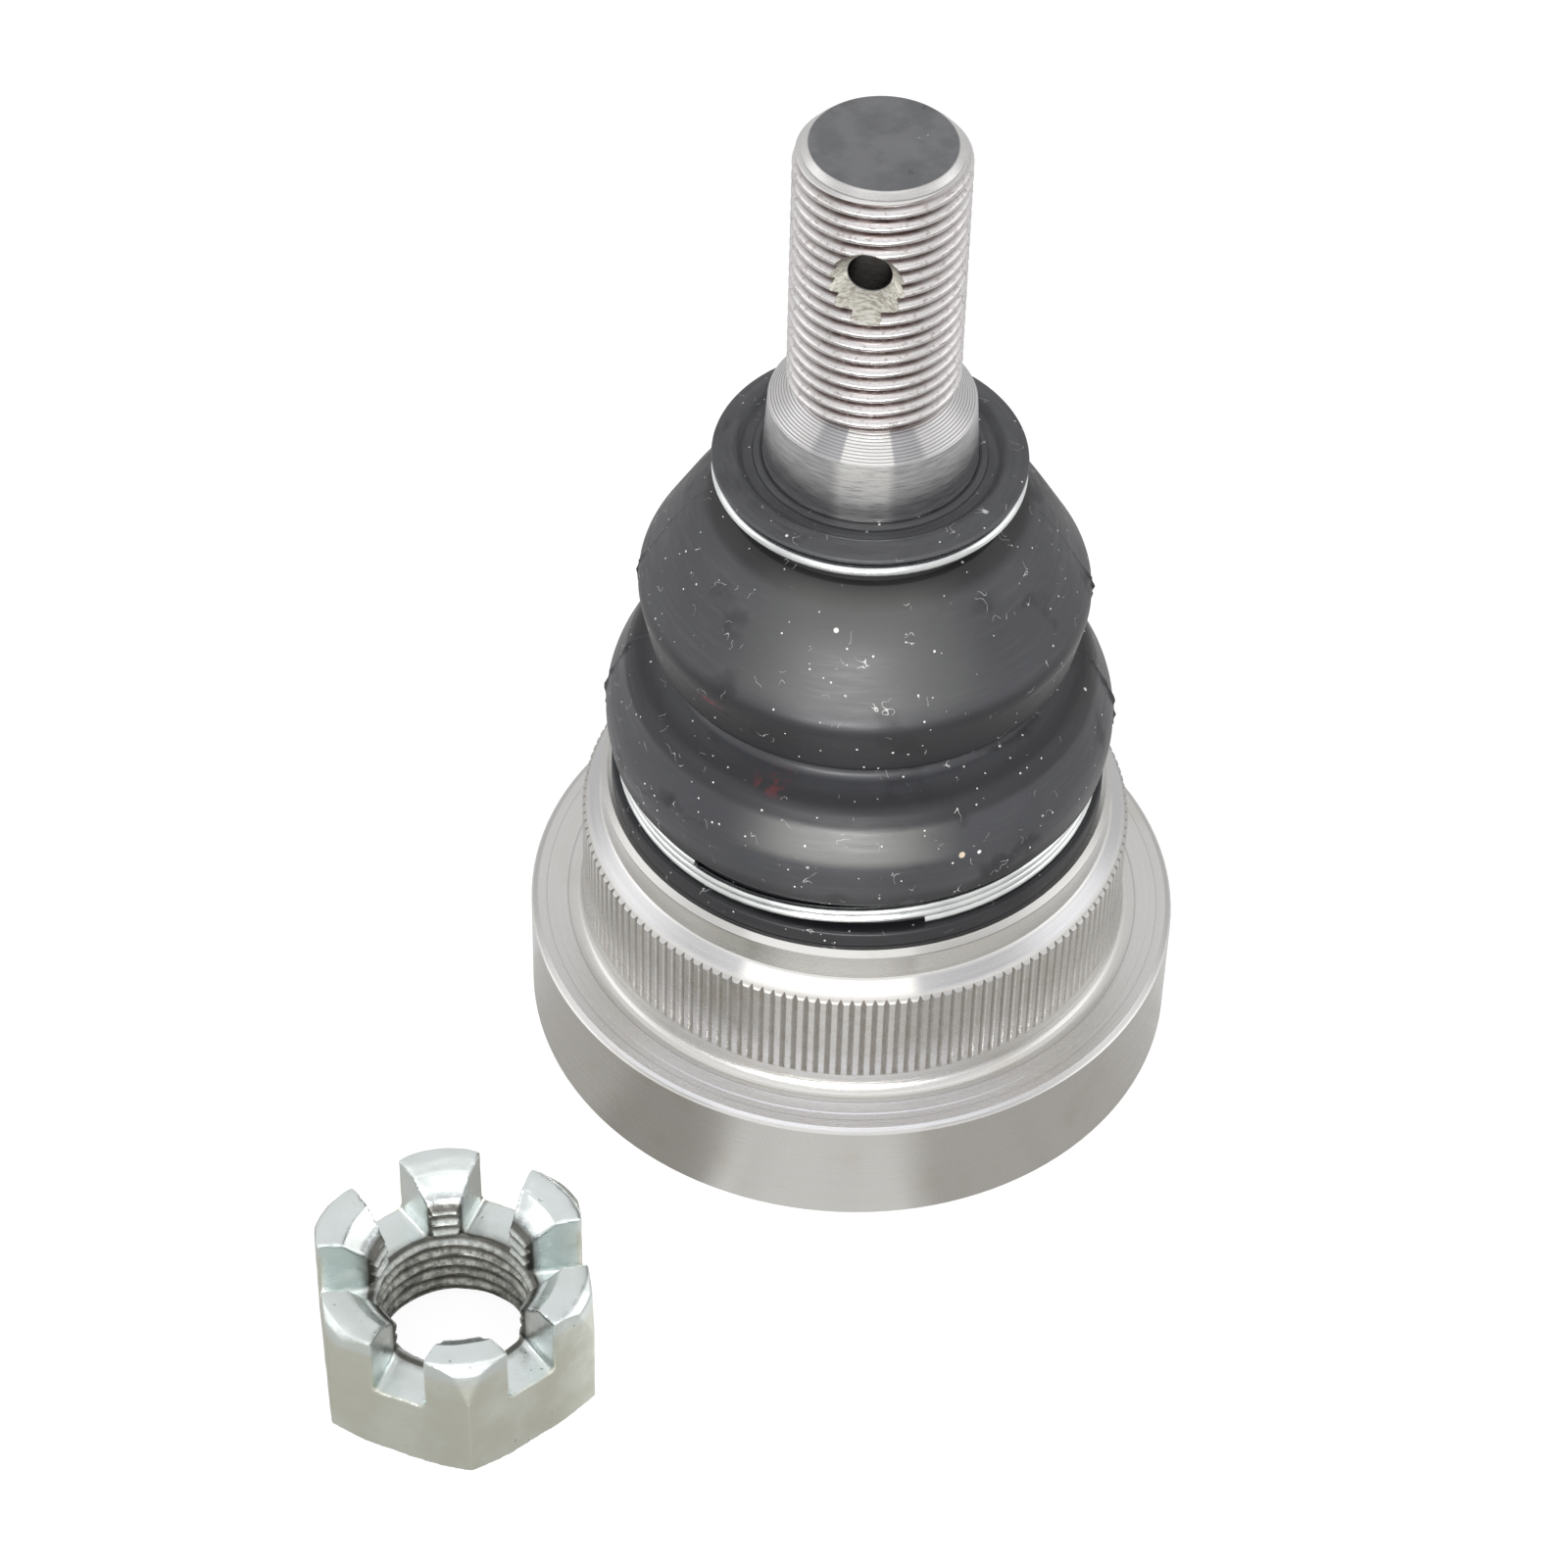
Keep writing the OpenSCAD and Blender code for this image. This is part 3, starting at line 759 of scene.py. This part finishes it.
def zinc_plating(colours):
    """The nut: blue-white zinc over a forged surface. Painted shade makes its sides darker, warmer and mottled;
    its bore is grimy, with painted shade further down and in the thread's valleys.
    """
    shader = Shader("zinc_plating")
    place = shader.place(NUT_PLACE)
    radius, _, height = shader.round_place(NUT_PLACE)
    top = NUT_BOX[1].z / MM
    bore = NUT_BORE / MM
    cloud = shader.noise(place, 170.0, detail=4.0)
    dents = shader.noise(place, 520.0, detail=3.0, roughness=0.6)
    fine = shader.noise(place, 2400.0, detail=3.0)
    grime = shader.noise(place, 1500.0, detail=5.0, roughness=0.65)
    pits = shader.noise(place, 1500.0, detail=1.0).between(0.76, 0.79)
    # Painted shade: the hexagon's sides are darker and warmer than its tops, mottled by the cloud.
    side = radius.mm(12.1, 12.45) * height.mm(top - 1.2, top - 2.4)
    inside = radius.mm(bore + 1.9, bore + 0.9)
    # Painted shade: the bore's grime is laid on more strongly further down, and the thread's valleys are darkened.
    deep = height.mm(8.8, 7.0)
    valley = radius.band(bore + 0.25, bore + 0.6, 8.1, 8.4)
    band = height.apart((top - 1.95) * MM).mm(0.55, 0.3) * inside
    side_shade = shader.mix(cloud.between(0.36, 0.66), (0.76, 0.78, 0.71), (0.64, 0.65, 0.56))
    dirty = shader.mix(grime.between(0.36, 0.62), (0.44, 0.44, 0.40), (0.15, 0.145, 0.125))
    colour = shader.layers(
        colours.zinc,
        (cloud.between(0.35, 0.7) * 0.5, (0.62, 0.66, 0.62)),
        (side * 0.9, side_shade),
        (inside * (deep * 0.35 + 0.55), dirty),
        (valley * 0.9, (0.09, 0.085, 0.075)),
        (band * grime.between(0.35, 0.55) * 0.8, (0.26, 0.27, 0.29)),
        (pits * 0.6, (0.22, 0.21, 0.20)),
    )
    roughness = cloud.between(0.3, 0.7, 0.22, 0.38) + inside * 0.08
    normal = shader.bump(dents, 0.10 * MM, 0.4)
    normal = shader.bump(fine, 0.016 * MM, 0.6, normal)
    normal = shader.bump(grime * (inside + 0.12), 0.08 * MM, 0.8, normal)
    return shader.set(base_color=colour, metallic=1.0, roughness=roughness, normal=normal)


def moulded_plastic():
    """The bearings: pale acetal with a faint moulded grain."""
    shader = Shader("bearing_plastic")
    place = shader.place()
    cloud = shader.noise(place, 120.0, detail=3.0).between(0.3, 0.7)
    grain = shader.noise(place, 2600.0, detail=2.0)
    colour = shader.mix(cloud * 0.5, (0.80, 0.78, 0.70), (0.72, 0.69, 0.60))
    roughness = grain.between(0.3, 0.7, 0.32, 0.46)
    return shader.set(base_color=colour, roughness=roughness, normal=shader.bump(grain, 0.01 * MM, 0.5))


def plain_steel(name, base, worn, ring_spacing, rough):
    """Steel with rings from its press or lathe and a patchy tone."""
    shader = Shader(name)
    radius, angle, height = shader.round_place()
    marks = lathe_marks(shader, radius, angle, height, ring_spacing)
    patchy = shader.noise(shader.place(), 210.0, detail=4.0).between(0.35, 0.7)
    colour = shader.mix(patchy * 0.6, base, worn)
    roughness = marks.between(0.3, 0.7, rough - 0.05, rough + 0.08)
    normal = shader.bump(marks, 0.012 * MM, 0.8)
    return shader.set(base_color=colour, metallic=1.0, roughness=roughness, normal=normal)


# Pieces

class BALLJOINT_OT_threaded_stud(bpy.types.Operator):
    """Models the ball stud with its cut thread, cotter hole and countersinks"""
    bl_idname = "ball_joint.threaded_stud"
    bl_label = "Threaded stud"

    def execute(self, context):
        sizes = context.scene.joint_stud
        foot, top = STUD_BOX[0].z, STUD_BOX[1].z
        ball = 15 * MM
        neck, neck_fillet = 8 * MM, 1.5 * MM
        taper_foot = 56 * MM
        core = THREAD_RADIUS - 0.5 * sizes.thread_pitch
        end_face = THREAD_RADIUS - sizes.end_chamfer
        relief = (THREAD_RADIUS - 0.72 * MM, TAPER_TOP[1] + 2 * MM)
        thread_foot = relief[1] + 0.2 * MM
        fillet = Vector((neck + neck_fillet, 0))
        fillet.y = BALL_CENTRE + math.sqrt((ball + neck_fillet) ** 2 - fillet.x ** 2)
        fillet_angle = math.degrees(math.atan2(fillet.y - BALL_CENTRE, fillet.x))
        flat_angle = math.degrees(math.asin((foot - BALL_CENTRE) / ball))
        outline = arc((0, BALL_CENTRE), ball, flat_angle, fillet_angle, 48)
        outline += arc(fillet, neck_fillet, 180 + fillet_angle, 180, 8)[1:]
        outline += [
            (neck, taper_foot - 2.6 * MM),
            (TAPER_TOP[0] + (TAPER_TOP[1] - taper_foot) * TAPER_SLOPE, taper_foot), TAPER_TOP,
            relief, (relief[0], thread_foot), (core, thread_foot + 0.1 * MM),
            (core, top - sizes.end_chamfer + THREAD_RADIUS - core),
            (end_face, top - 0.02 * MM), (end_face - 0.03 * MM, top),
        ]
        stud = turned("stud_threaded", outline)
        turns = math.ceil((top - thread_foot) / sizes.thread_pitch) + 2
        tooth = thread_tooth(core, THREAD_RADIUS, sizes.thread_pitch)
        first = thread_foot - sizes.thread_pitch
        ridge = coil("thread_ridge", [(r, z + first) for r, z in tooth], sizes.thread_pitch, turns)
        envelope = turned("thread_envelope", [
            (core - 0.3 * MM, thread_foot), (relief[0], thread_foot),
            (THREAD_RADIUS, thread_foot + THREAD_RADIUS - relief[0]), (THREAD_RADIUS, top - 1.7 * MM),
            (THREAD_RADIUS - 0.1 * MM, top - 1.3 * MM), (THREAD_RADIUS - 0.4 * MM, top - 0.95 * MM),
            (THREAD_RADIUS - 0.85 * MM, top - 0.68 * MM), (THREAD_RADIUS - 1.02 * MM, top - 0.3 * MM),
            (end_face, top),
        ])
        boolean(ridge, "INTERSECT", envelope)
        boolean(stud, "UNION", ridge)
        self.drill_cotter_hole(stud, sizes.countersink / 2, sizes.sink_depth)
        shade(stud)
        material = stud_steel(context.scene.joint_colours, thread_foot, top, sizes)
        finish_piece(stud, material, "ball_stud")
        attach(stud, "stud")
        return {"FINISHED"}

    def drill_cotter_hole(self, stud, sink, depth):
        """Drills through the stud and countersinks both mouths, each as wide as sink at the thread's crests."""
        over = 1 * MM
        start = THREAD_RADIUS - depth
        flare = over * (sink - COTTER_RADIUS) / depth
        turn = Vector((0, 0, 1)).rotation_difference(COTTER_AXIS).to_matrix().to_4x4()
        half = [(COTTER_RADIUS, 0), (COTTER_RADIUS, start), (sink + flare, THREAD_RADIUS + over)]
        outline = [(r, -z) for r, z in reversed(half)] + half[1:]
        drill = turned("cotter_drill", outline, sides=64)
        drill.data.transform(Matrix.Translation(COTTER_PLACE) @ turn)
        boolean(stud, "DIFFERENCE", drill)


class BALLJOINT_OT_bellows_boot(bpy.types.Operator):
    """Models the rubber boot with its folds, bands and mould seams"""
    bl_idname = "ball_joint.bellows_boot"
    bl_label = "Bellows boot"

    def execute(self, context):
        sizes = context.scene.joint_boot
        folds, outline = self.outline(sizes)
        boot = turned("boot_bellows", outline, sides=sizes.sides, closed=True)
        self.raise_seams(boot, sizes, folds)
        shade(boot, 50)
        finish_piece(boot, boot_rubber(context.scene.joint_colours), "dust_boot")
        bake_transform(boot)
        return {"FINISHED"}

    def outline(self, sizes):
        """The folds' corners, and the whole closed outline: up the outside and down the inside."""
        foot, top = BOOT_BOX[0].z, BOOT_BOX[1].z
        lip_top = foot + 1.6 * MM
        seat_top = lip_top + 3.5 * MM
        lip, seat = 24.1 * MM, 22.55 * MM
        lower_lobe, upper_lobe = 24.6 * MM, 21.45 * MM
        waist, waist_height = 18.45 * MM, 48 * MM
        head, head_foot, head_top = 13 * MM, 67.2 * MM, 70.2 * MM
        rim = 14.7 * MM
        gap = 0.06 * MM
        shaft = TAPER_TOP[0] + (TAPER_TOP[1] - top) * TAPER_SLOPE + gap
        mouth_depth = 6 * MM
        folds = [
            (lower_lobe - 0.4 * MM, seat_top + 0.3 * MM, 0.9 * MM),
            (lower_lobe + 0.3 * MM, 40.1 * MM, 8.2 * MM),
            (lower_lobe - 2.6 * MM, waist_height - 1.9 * MM, 1.9 * MM), (waist - 1 * MM, waist_height, 1 * MM),
            (upper_lobe - 1 * MM, waist_height + 2.2 * MM, 1.6 * MM),
            (upper_lobe + 0.2 * MM, 56 * MM, 3.3 * MM),
            (upper_lobe - 4.8 * MM, 64.8 * MM, 16 * MM), (head + 0.5 * MM, head_foot, 0.4 * MM),
        ]
        outside = [
            (lip, foot, 0), (lip, lip_top, 0.3 * MM), (seat, lip_top, 0.15 * MM), (seat, seat_top, 0.15 * MM),
            *folds,
            (head, head_foot + 0.2 * MM, 0), (head, head_top, 0.15 * MM),
            (rim, head_top + 0.75 * MM, 0.3 * MM), (rim, top - 0.6 * MM, 0.3 * MM),
            (rim - 2.1 * MM, top, 0.6 * MM), (rim - 2.9 * MM, top - 0.7 * MM, 0.5 * MM),
            (shaft + 0.85 * MM, top - 0.7 * MM, 0.2 * MM), (shaft + 0.75 * MM, top - 0.25 * MM, 0.15 * MM),
            (shaft, top - 0.25 * MM, 0),
        ]
        collar, groove = 21.05 * MM, 20.45 * MM
        inside = [
            (shaft + mouth_depth * TAPER_SLOPE, top - mouth_depth, 0),
            *reversed(self.inner_corners(folds, sizes.wall)),
            (lower_lobe - 0.3 * MM - sizes.wall, 37.6 * MM, 0.3 * MM), (collar, 37 * MM, 0),
            (collar, 35.6 * MM, 0), (groove, 35.15 * MM, 0), (groove, 32.75 * MM, 0), (collar, 32.3 * MM, 0),
            (collar, foot, 0),
        ]
        return folds, divided(rounded(outside) + rounded(inside), 0.9 * MM)

    def inner_corners(self, folds, wall):
        """Corners of the wall's inner face, one wall behind the folds' own."""
        corners = []
        for before, corner, after in zip(folds, folds[1:], folds[2:]):
            up = (Vector(corner[:2]) - Vector(before[:2])).normalized()
            on = (Vector(after[:2]) - Vector(corner[:2])).normalized()
            side = Vector((-up.y, up.x))
            inward = Vector((-up.y - on.y, up.x + on.x)).normalized()
            bulges = up.x * on.y - up.y * on.x > 0
            place = Vector(corner[:2]) + inward * wall / inward.dot(side)
            corners.append((place.x, place.y, max(0.3 * MM, corner[2] + (-wall if bulges else wall))))
        return corners

    def raise_seams(self, boot, sizes, folds):
        """Narrows the columns of faces beside the two seams and pulls ragged flash out along them."""
        rng = random.Random(7)
        step = FULL_TURN / sizes.sides
        narrow = {1: 0.12 * MM, 2: 0.34 * MM}
        low, high, faint_above = folds[0][1], folds[-1][1] - 2 * MM, 58 * MM
        ragged = {}
        for vertex in boot.data.vertices:
            x, y, z = vertex.co
            radius, angle = math.hypot(x, y), math.atan2(y, x)
            seam = 0 if x > 0 else math.pi
            offset = math.remainder(angle - seam, FULL_TURN)
            column = round(offset / step)
            if abs(column) in narrow:
                angle = seam + math.copysign(narrow[abs(column)] / radius, column)
            if column == 0 and low < z < high and self.is_outside(radius, z, folds):
                key = (round(z / (0.1 * MM)), seam > 0)
                if key not in ragged:
                    share = rng.choice((0.25, 0.45, 0.6, 0.8, 1.0))
                    ragged[key] = sizes.seam * share * (0.3 if z > faint_above else 1)
                radius += ragged[key]
            vertex.co = (radius * math.cos(angle), radius * math.sin(angle), z)

    def is_outside(self, radius, height, folds):
        """Whether a point of the boot lies on its outer face, judged against the outer folds."""
        allowance = 1.2 * MM
        for (r0, z0, _), (r1, z1, _) in zip(folds, folds[1:]):
            if z0 <= height <= z1:
                outer = r0 + (r1 - r0) * (height - z0) / (z1 - z0)
                return radius > outer - allowance
        return False


class BALLJOINT_OT_wire_clamps(bpy.types.Operator):
    """Models the two wire clamps that hold the boot"""
    bl_idname = "ball_joint.wire_clamps"
    bl_label = "Wire clamps"

    def execute(self, context):
        sizes = context.scene.joint_clamps
        material = clamp_wire(context.scene.joint_colours)
        wire = sizes.wire / 2
        turns = sizes.lower_turns
        pitch = sizes.wire + 0.01 * MM
        drop, inset = 0.70 * MM, 0.18 * MM
        low = LOWER_CLAMP_BOX[1].z - wire - drop - pitch * (math.ceil(turns) - 1)
        ring = LOWER_CLAMP_BOX[1].x - wire - inset
        lower = coil(
            "lower_clamp_wire", arc((ring, low), wire, 0, 337.5, 15), pitch, turns,
            start=math.radians(230) - FULL_TURN * turns, steps_a_turn=100,
            climb=lambda turn: self.climbed(turn, turns) * pitch,
        )
        shade(lower, 50)
        finish_piece(lower, material, "lower_clamp_ring")
        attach(lower, "housing")
        wire = sizes.upper_wire / 2
        place = (UPPER_CLAMP_BOX[1].x, UPPER_CLAMP_BOX[1].z - 0.25 * MM)
        gap, gap_end = 6 / 360, math.radians(93)
        upper = coil("upper_clamp_wire", arc(place, wire, 0, 337.5, 15), 0, 1 - gap, start=gap_end)
        shade(upper, 50)
        finish_piece(upper, material, "upper_clamp_ring")
        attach(upper, "neck")
        return {"FINISHED"}

    def climbed(self, turn, turns):
        """Pitches climbed above the lower end: level round the back, with a step up across the front."""
        from_top = max(0.0, turns - turn)
        whole, level = math.floor(from_top), turns - math.floor(turns)
        step = max(0.0, (from_top - whole - level) / (1 - level))
        return math.ceil(turns) - 1 - whole - step * step * (3 - 2 * step)


class BALLJOINT_OT_castle_nut(bpy.types.Operator):
    """Models the castle nut with its slots, rounded edges and inner thread"""
    bl_idname = "ball_joint.castle_nut"
    bl_label = "Castle nut"

    def execute(self, context):
        sizes = context.scene.joint_nut
        top = NUT_BOX[1].z
        corner = sizes.across_flats / math.sqrt(3)
        nut = self.hexagon(corner, top)
        crown = turned("nut_crown", [
            (sizes.across_flats / 2 + 0.3 * MM, 0), (corner + 0.1 * MM, 1.1 * MM),
            (corner + 0.1 * MM, top - 4.9 * MM), (corner - 0.75 * MM, top - 0.75 * MM), (corner - 1.5 * MM, top),
        ])
        boolean(nut, "INTERSECT", crown)
        boolean(nut, "DIFFERENCE", turned("nut_bore", [
            (NUT_BORE + 1.2 * MM, -0.1 * MM), (NUT_BORE, 1.1 * MM), (NUT_BORE, top - 3.4 * MM),
            (NUT_BORE + 0.95 * MM, top - 2.5 * MM), (NUT_BORE + 1.25 * MM, top - 1.95 * MM),
            (NUT_BORE + 1.8 * MM, top - 1.6 * MM), (NUT_BORE + 3.1 * MM, top - 0.3 * MM),
            (corner - 2.4 * MM, top + 0.01 * MM),
        ], sides=96))
        for turn in range(3):
            boolean(nut, "DIFFERENCE", self.slot_bar(sizes, corner, top, turn * math.pi / 3))
        self.soften(nut)
        self.cut_thread(nut, context.scene.joint_stud.thread_pitch)
        nut.data.transform(Matrix.Translation(NUT_PLACE) @ Matrix.Rotation(sizes.turn, 4, "Z"))
        shade(nut, 25)
        finish_piece(nut, zinc_plating(context.scene.joint_colours), "castle_nut")
        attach(nut, "nut")
        return {"FINISHED"}

    def hexagon(self, corner, top):
        """The plain hexagonal bar that the nut is cut from."""
        deselect_all()
        bpy.ops.mesh.primitive_cylinder_add(vertices=6, radius=corner, depth=top, location=(0, 0, top / 2))
        nut = named("castle_nut_threaded")
        bpy.ops.object.transform_apply(location=True, rotation=True, scale=True)
        return nut

    def slot_bar(self, sizes, corner, top, turn):
        """The tool for one slot right across the nut: a bar with its two lower edges chamfered."""
        deselect_all()
        height = top - sizes.slot_floor + 1 * MM
        bpy.ops.mesh.primitive_cube_add(size=1, location=(0, 0, sizes.slot_floor + height / 2))
        bar = named("slot_bar")
        bar.scale = (3 * corner, sizes.slot_width, height)
        bpy.ops.object.transform_apply(location=True, rotation=True, scale=True)
        edit(bar)
        bpy.ops.mesh.select_all(action="DESELECT")
        bpy.ops.object.mode_set(mode="OBJECT")
        for edge in bar.data.edges:
            ends = [bar.data.vertices[i].co for i in edge.vertices]
            low = all(end.z < sizes.slot_floor + 0.1 * MM for end in ends)
            edge.select = low and abs(ends[0].x - ends[1].x) > corner
        bpy.ops.object.mode_set(mode="EDIT")
        bpy.ops.mesh.select_mode(type="EDGE")
        bpy.ops.mesh.bevel(offset=0.45 * MM, segments=3)
        close_edit()
        bar.data.transform(Matrix.Rotation(turn, 4, "Z"))
        return bar

    def soften(self, nut):
        """Gives the plain solid the rounded edges and slightly uneven faces of a forging."""
        make_active(nut)
        modify(nut, "REMESH", mode="VOXEL", voxel_size=0.2 * MM)
        modify(nut, "SMOOTH", factor=0.5, iterations=7)
        moves = [vertex.normal * self.dent(vertex.co) for vertex in nut.data.vertices]
        for vertex, move in zip(nut.data.vertices, moves):
            vertex.co += move

    def dent(self, place):
        """How far a point of the forged surface stands out."""
        broad, small = noise.noise(place / (2.2 * MM)), noise.noise(place / (0.9 * MM))
        return (0.04 * broad + 0.02 * small - 0.02) * MM

    def cut_thread(self, nut, pitch):
        """Moves the bore's points outwards wherever the thread's groove would have cut them away."""
        depth = THREAD_RADIUS + 0.05 * MM - NUT_BORE
        crest, flanks = 0.14, 0.76
        for vertex in nut.data.vertices:
            x, y, z = vertex.co
            radius = math.hypot(x, y)
            if radius > NUT_BORE + depth:
                continue
            phase = (z / pitch - math.atan2(y, x) / FULL_TURN) % 1.0
            rise = min(1.0, max(0.0, (1 - abs(2 * phase - 1) - crest) / flanks))
            ragged = 1 + 0.14 * noise.noise(vertex.co / (0.6 * MM))
            wanted = NUT_BORE + depth * rise * ragged
            if radius < wanted:
                vertex.co.x, vertex.co.y = x * wanted / radius, y * wanted / radius
        edit(nut)
        close_edit()


class BALLJOINT_OT_housing_finish(bpy.types.Operator):
    """Finishes the housing and the pieces inside it, which keep their CAD shapes"""
    bl_idname = "ball_joint.housing_finish"
    bl_label = "Housing and inner pieces"

    def execute(self, context):
        colours = context.scene.joint_colours
        plastic = moulded_plastic()
        finishes = {
            "housing": turned_steel(colours),
            "cover_plate": plain_steel("pressed_steel", (0.50, 0.49, 0.47), (0.38, 0.36, 0.33), 0.5 * MM, 0.36),
            "disc_spring": plain_steel("spring_steel", (0.20, 0.21, 0.24), (0.12, 0.12, 0.14), 0.3 * MM, 0.3),
            "lower_bearing": plastic,
            "upper_bearing": plastic,
        }
        for node, material in finishes.items():
            mesh = frame["nodes"][node].data
            mesh.materials.clear()
            mesh.materials.append(material)
        return {"FINISHED"}


class BALLJOINT_OT_stage(bpy.types.Operator):
    """Sets the white floor, the pale room, the softboxes and the camera"""
    bl_idname = "ball_joint.stage"
    bl_label = "Stage"

    def execute(self, context):
        scene = context.scene
        settings = scene.joint_stage
        scene.view_settings.view_transform = "Standard"
        self.make_floor()
        self.make_room(settings.room_light)
        self.make_softbox("top_softbox", (0, -0.15, 1.1), (1.1, 0.9), settings.top_power)
        self.make_softbox("front_softbox", (-0.07, -0.84, 0.18), (0.55, 0.2), settings.front_power)
        self.make_softbox("camera_softbox", (-0.13, -0.73, 0.70), (1.2, 0.35), settings.camera_power)
        self.make_softbox("left_softbox", (-0.75, 0.05, 0.35), (0.5, 0.5), settings.side_power)
        self.make_softbox("right_softbox", (0.75, 0.05, 0.35), (0.5, 0.5), settings.side_power)
        self.make_camera(settings.lens)
        return {"FINISHED"}

    def make_floor(self):
        """White to the camera; in reflections it shows painted light: a painted shadow next to the object, a
        darker dip to one side, lighter behind, and a painted pool of light that is brightest in front of the
        object.
        """
        deselect_all()
        bpy.ops.mesh.primitive_plane_add(size=4, location=(0, 0, 0))
        floor = named("floor")
        shader = Shader("floor_white")
        shader.set(base_color=(0.9, 0.9, 0.9), roughness=0.9)
        radius, angle, _ = shader.round_place()
        aside = angle - HOUSING_FRONT
        far = radius.mm(36, 110)
        half = far * math.radians(11) + math.radians(19)
        pool = (half - aside.maths("ABSOLUTE")).degrees(-4, 3) * radius.mm(66, 56)
        dip = aside.apart(math.radians(-34)).degrees(18, 6)
        behind = aside.maths("ABSOLUTE").degrees(60, 110)
        lit = shader.mix(far, (0.86, 0.85, 0.83), (1.15, 1.15, 1.14))
        streaks = shader.noise(shader.vector(angle * 7, radius / (60 * MM), 0.0), 1.0, detail=3.0)
        rays = shader.node("ShaderNodeLightPath", output="Is Camera Ray")
        mirrored = rays.of("Is Glossy Ray").most(rays.of("Is Transmission Ray"))
        # Painted light seen only in reflections: a shadow next to the object, a darker dip to one side, lighter
        # behind and a pool of light in front.
        painted_floor_light = shader.layers(
            (0.55, 0.535, 0.51),
            (dip, (0.40, 0.385, 0.36)),
            (far, (0.66, 0.65, 0.63)),
            (behind, (0.85, 0.85, 0.85)),
            (pool, lit),
            (streaks.between(0.45, 0.75) * 0.3, (0.45, 0.44, 0.42)),
            (rays, (1.15, 1.15, 1.15)),
        )
        glow = shader.node("ShaderNodeEmission", inputs={"Color": painted_floor_light, "Strength": 1.0})
        mixed = shader.node("ShaderNodeMixShader", inputs={0: rays * 0.8 + mirrored})
        shader.feed(mixed.socket.node.inputs[1], Value(shader, shader.surface.outputs[0]))
        shader.feed(mixed.socket.node.inputs[2], glow)
        shader.feed(shader.output.inputs["Surface"], mixed)
        floor.data.materials.append(shader.material)

    def make_room(self, strength):
        """A world that is pale in reflections and white to the camera."""
        world = bpy.data.worlds.new("pale_room")
        world.use_nodes = True
        background = world.node_tree.nodes["Background"]
        seen = world.node_tree.nodes.new("ShaderNodeLightPath")
        pale = world.node_tree.nodes.new("ShaderNodeMix")
        pale.data_type = "RGBA"
        pale.inputs[6].default_value = (strength, strength, strength, 1)
        pale.inputs[7].default_value = (1, 1, 1, 1)
        world.node_tree.links.new(seen.outputs["Is Camera Ray"], pale.inputs["Factor"])
        world.node_tree.links.new(pale.outputs[2], background.inputs["Color"])
        background.inputs["Strength"].default_value = 1
        bpy.context.scene.world = world

    def make_softbox(self, name, place, size, power):
        """A rectangular lamp that faces the middle of the object."""
        lamp = bpy.data.lights.new(name, "AREA")
        lamp.shape = "RECTANGLE"
        lamp.size, lamp.size_y = size
        lamp.energy = power
        box = bpy.data.objects.new(name, lamp)
        aim = Vector((0, 0, 40 * MM)) - Vector(place)
        box.matrix_world = Matrix.Translation(place) @ aim.to_track_quat("-Z", "Y").to_matrix().to_4x4()
        bpy.context.scene.collection.objects.link(box)

    def make_camera(self, lens):
        """The photograph's own camera: in front and above, turned a little to the side and about the view."""
        forward = Vector((math.sin(CAMERA_YAW), math.cos(CAMERA_YAW), 0)) * math.cos(CAMERA_PITCH)
        forward.z = -math.sin(CAMERA_PITCH)
        right = Vector((math.cos(CAMERA_YAW), -math.sin(CAMERA_YAW), 0))
        up = right.cross(forward)
        turned_right = math.cos(CAMERA_ROLL) * right + math.sin(CAMERA_ROLL) * up
        turned_up = math.cos(CAMERA_ROLL) * up - math.sin(CAMERA_ROLL) * right
        camera = bpy.data.cameras.new("camera")
        camera.lens = lens
        camera.sensor_width = 36
        camera.clip_start = 0.01
        body = bpy.data.objects.new("camera", camera)
        rotation = Matrix((turned_right, turned_up, -forward)).transposed().to_4x4()
        body.matrix_world = Matrix.Translation(CAMERA_PLACE) @ rotation
        bpy.context.scene.collection.objects.link(body)
        bpy.context.scene.camera = body


OPERATORS = (
    BALLJOINT_OT_stage,
    BALLJOINT_OT_housing_finish,
    BALLJOINT_OT_threaded_stud,
    BALLJOINT_OT_bellows_boot,
    BALLJOINT_OT_wire_clamps,
    BALLJOINT_OT_castle_nut,
)


class BALLJOINT_PT_pieces(bpy.types.Panel):
    bl_idname = "BALLJOINT_PT_pieces"
    bl_label = "Ball joint"
    bl_space_type = "VIEW_3D"
    bl_region_type = "UI"
    bl_category = "Ball joint"

    def draw(self, context):
        for operator in OPERATORS:
            self.layout.operator(operator.bl_idname)
        for name, group in GROUPS.items():
            box = self.layout.box()
            for key in group.__annotations__:
                box.prop(getattr(context.scene, name), key)


CLASSES = (*GROUPS.values(), *OPERATORS, BALLJOINT_PT_pieces)


def register():
    for each in CLASSES:
        bpy.utils.register_class(each)
    for name, group in GROUPS.items():
        setattr(bpy.types.Scene, name, PointerProperty(type=group))


def unregister():
    for name in GROUPS:
        delattr(bpy.types.Scene, name)
    for each in reversed(CLASSES):
        bpy.utils.unregister_class(each)


def main():
    register()
    bpy.ops.ball_joint.stage()
    bpy.ops.ball_joint.housing_finish()
    bpy.ops.ball_joint.threaded_stud()
    bpy.ops.ball_joint.bellows_boot()
    bpy.ops.ball_joint.wire_clamps()
    bpy.ops.ball_joint.castle_nut()


if __name__ == "__main__":
    main()
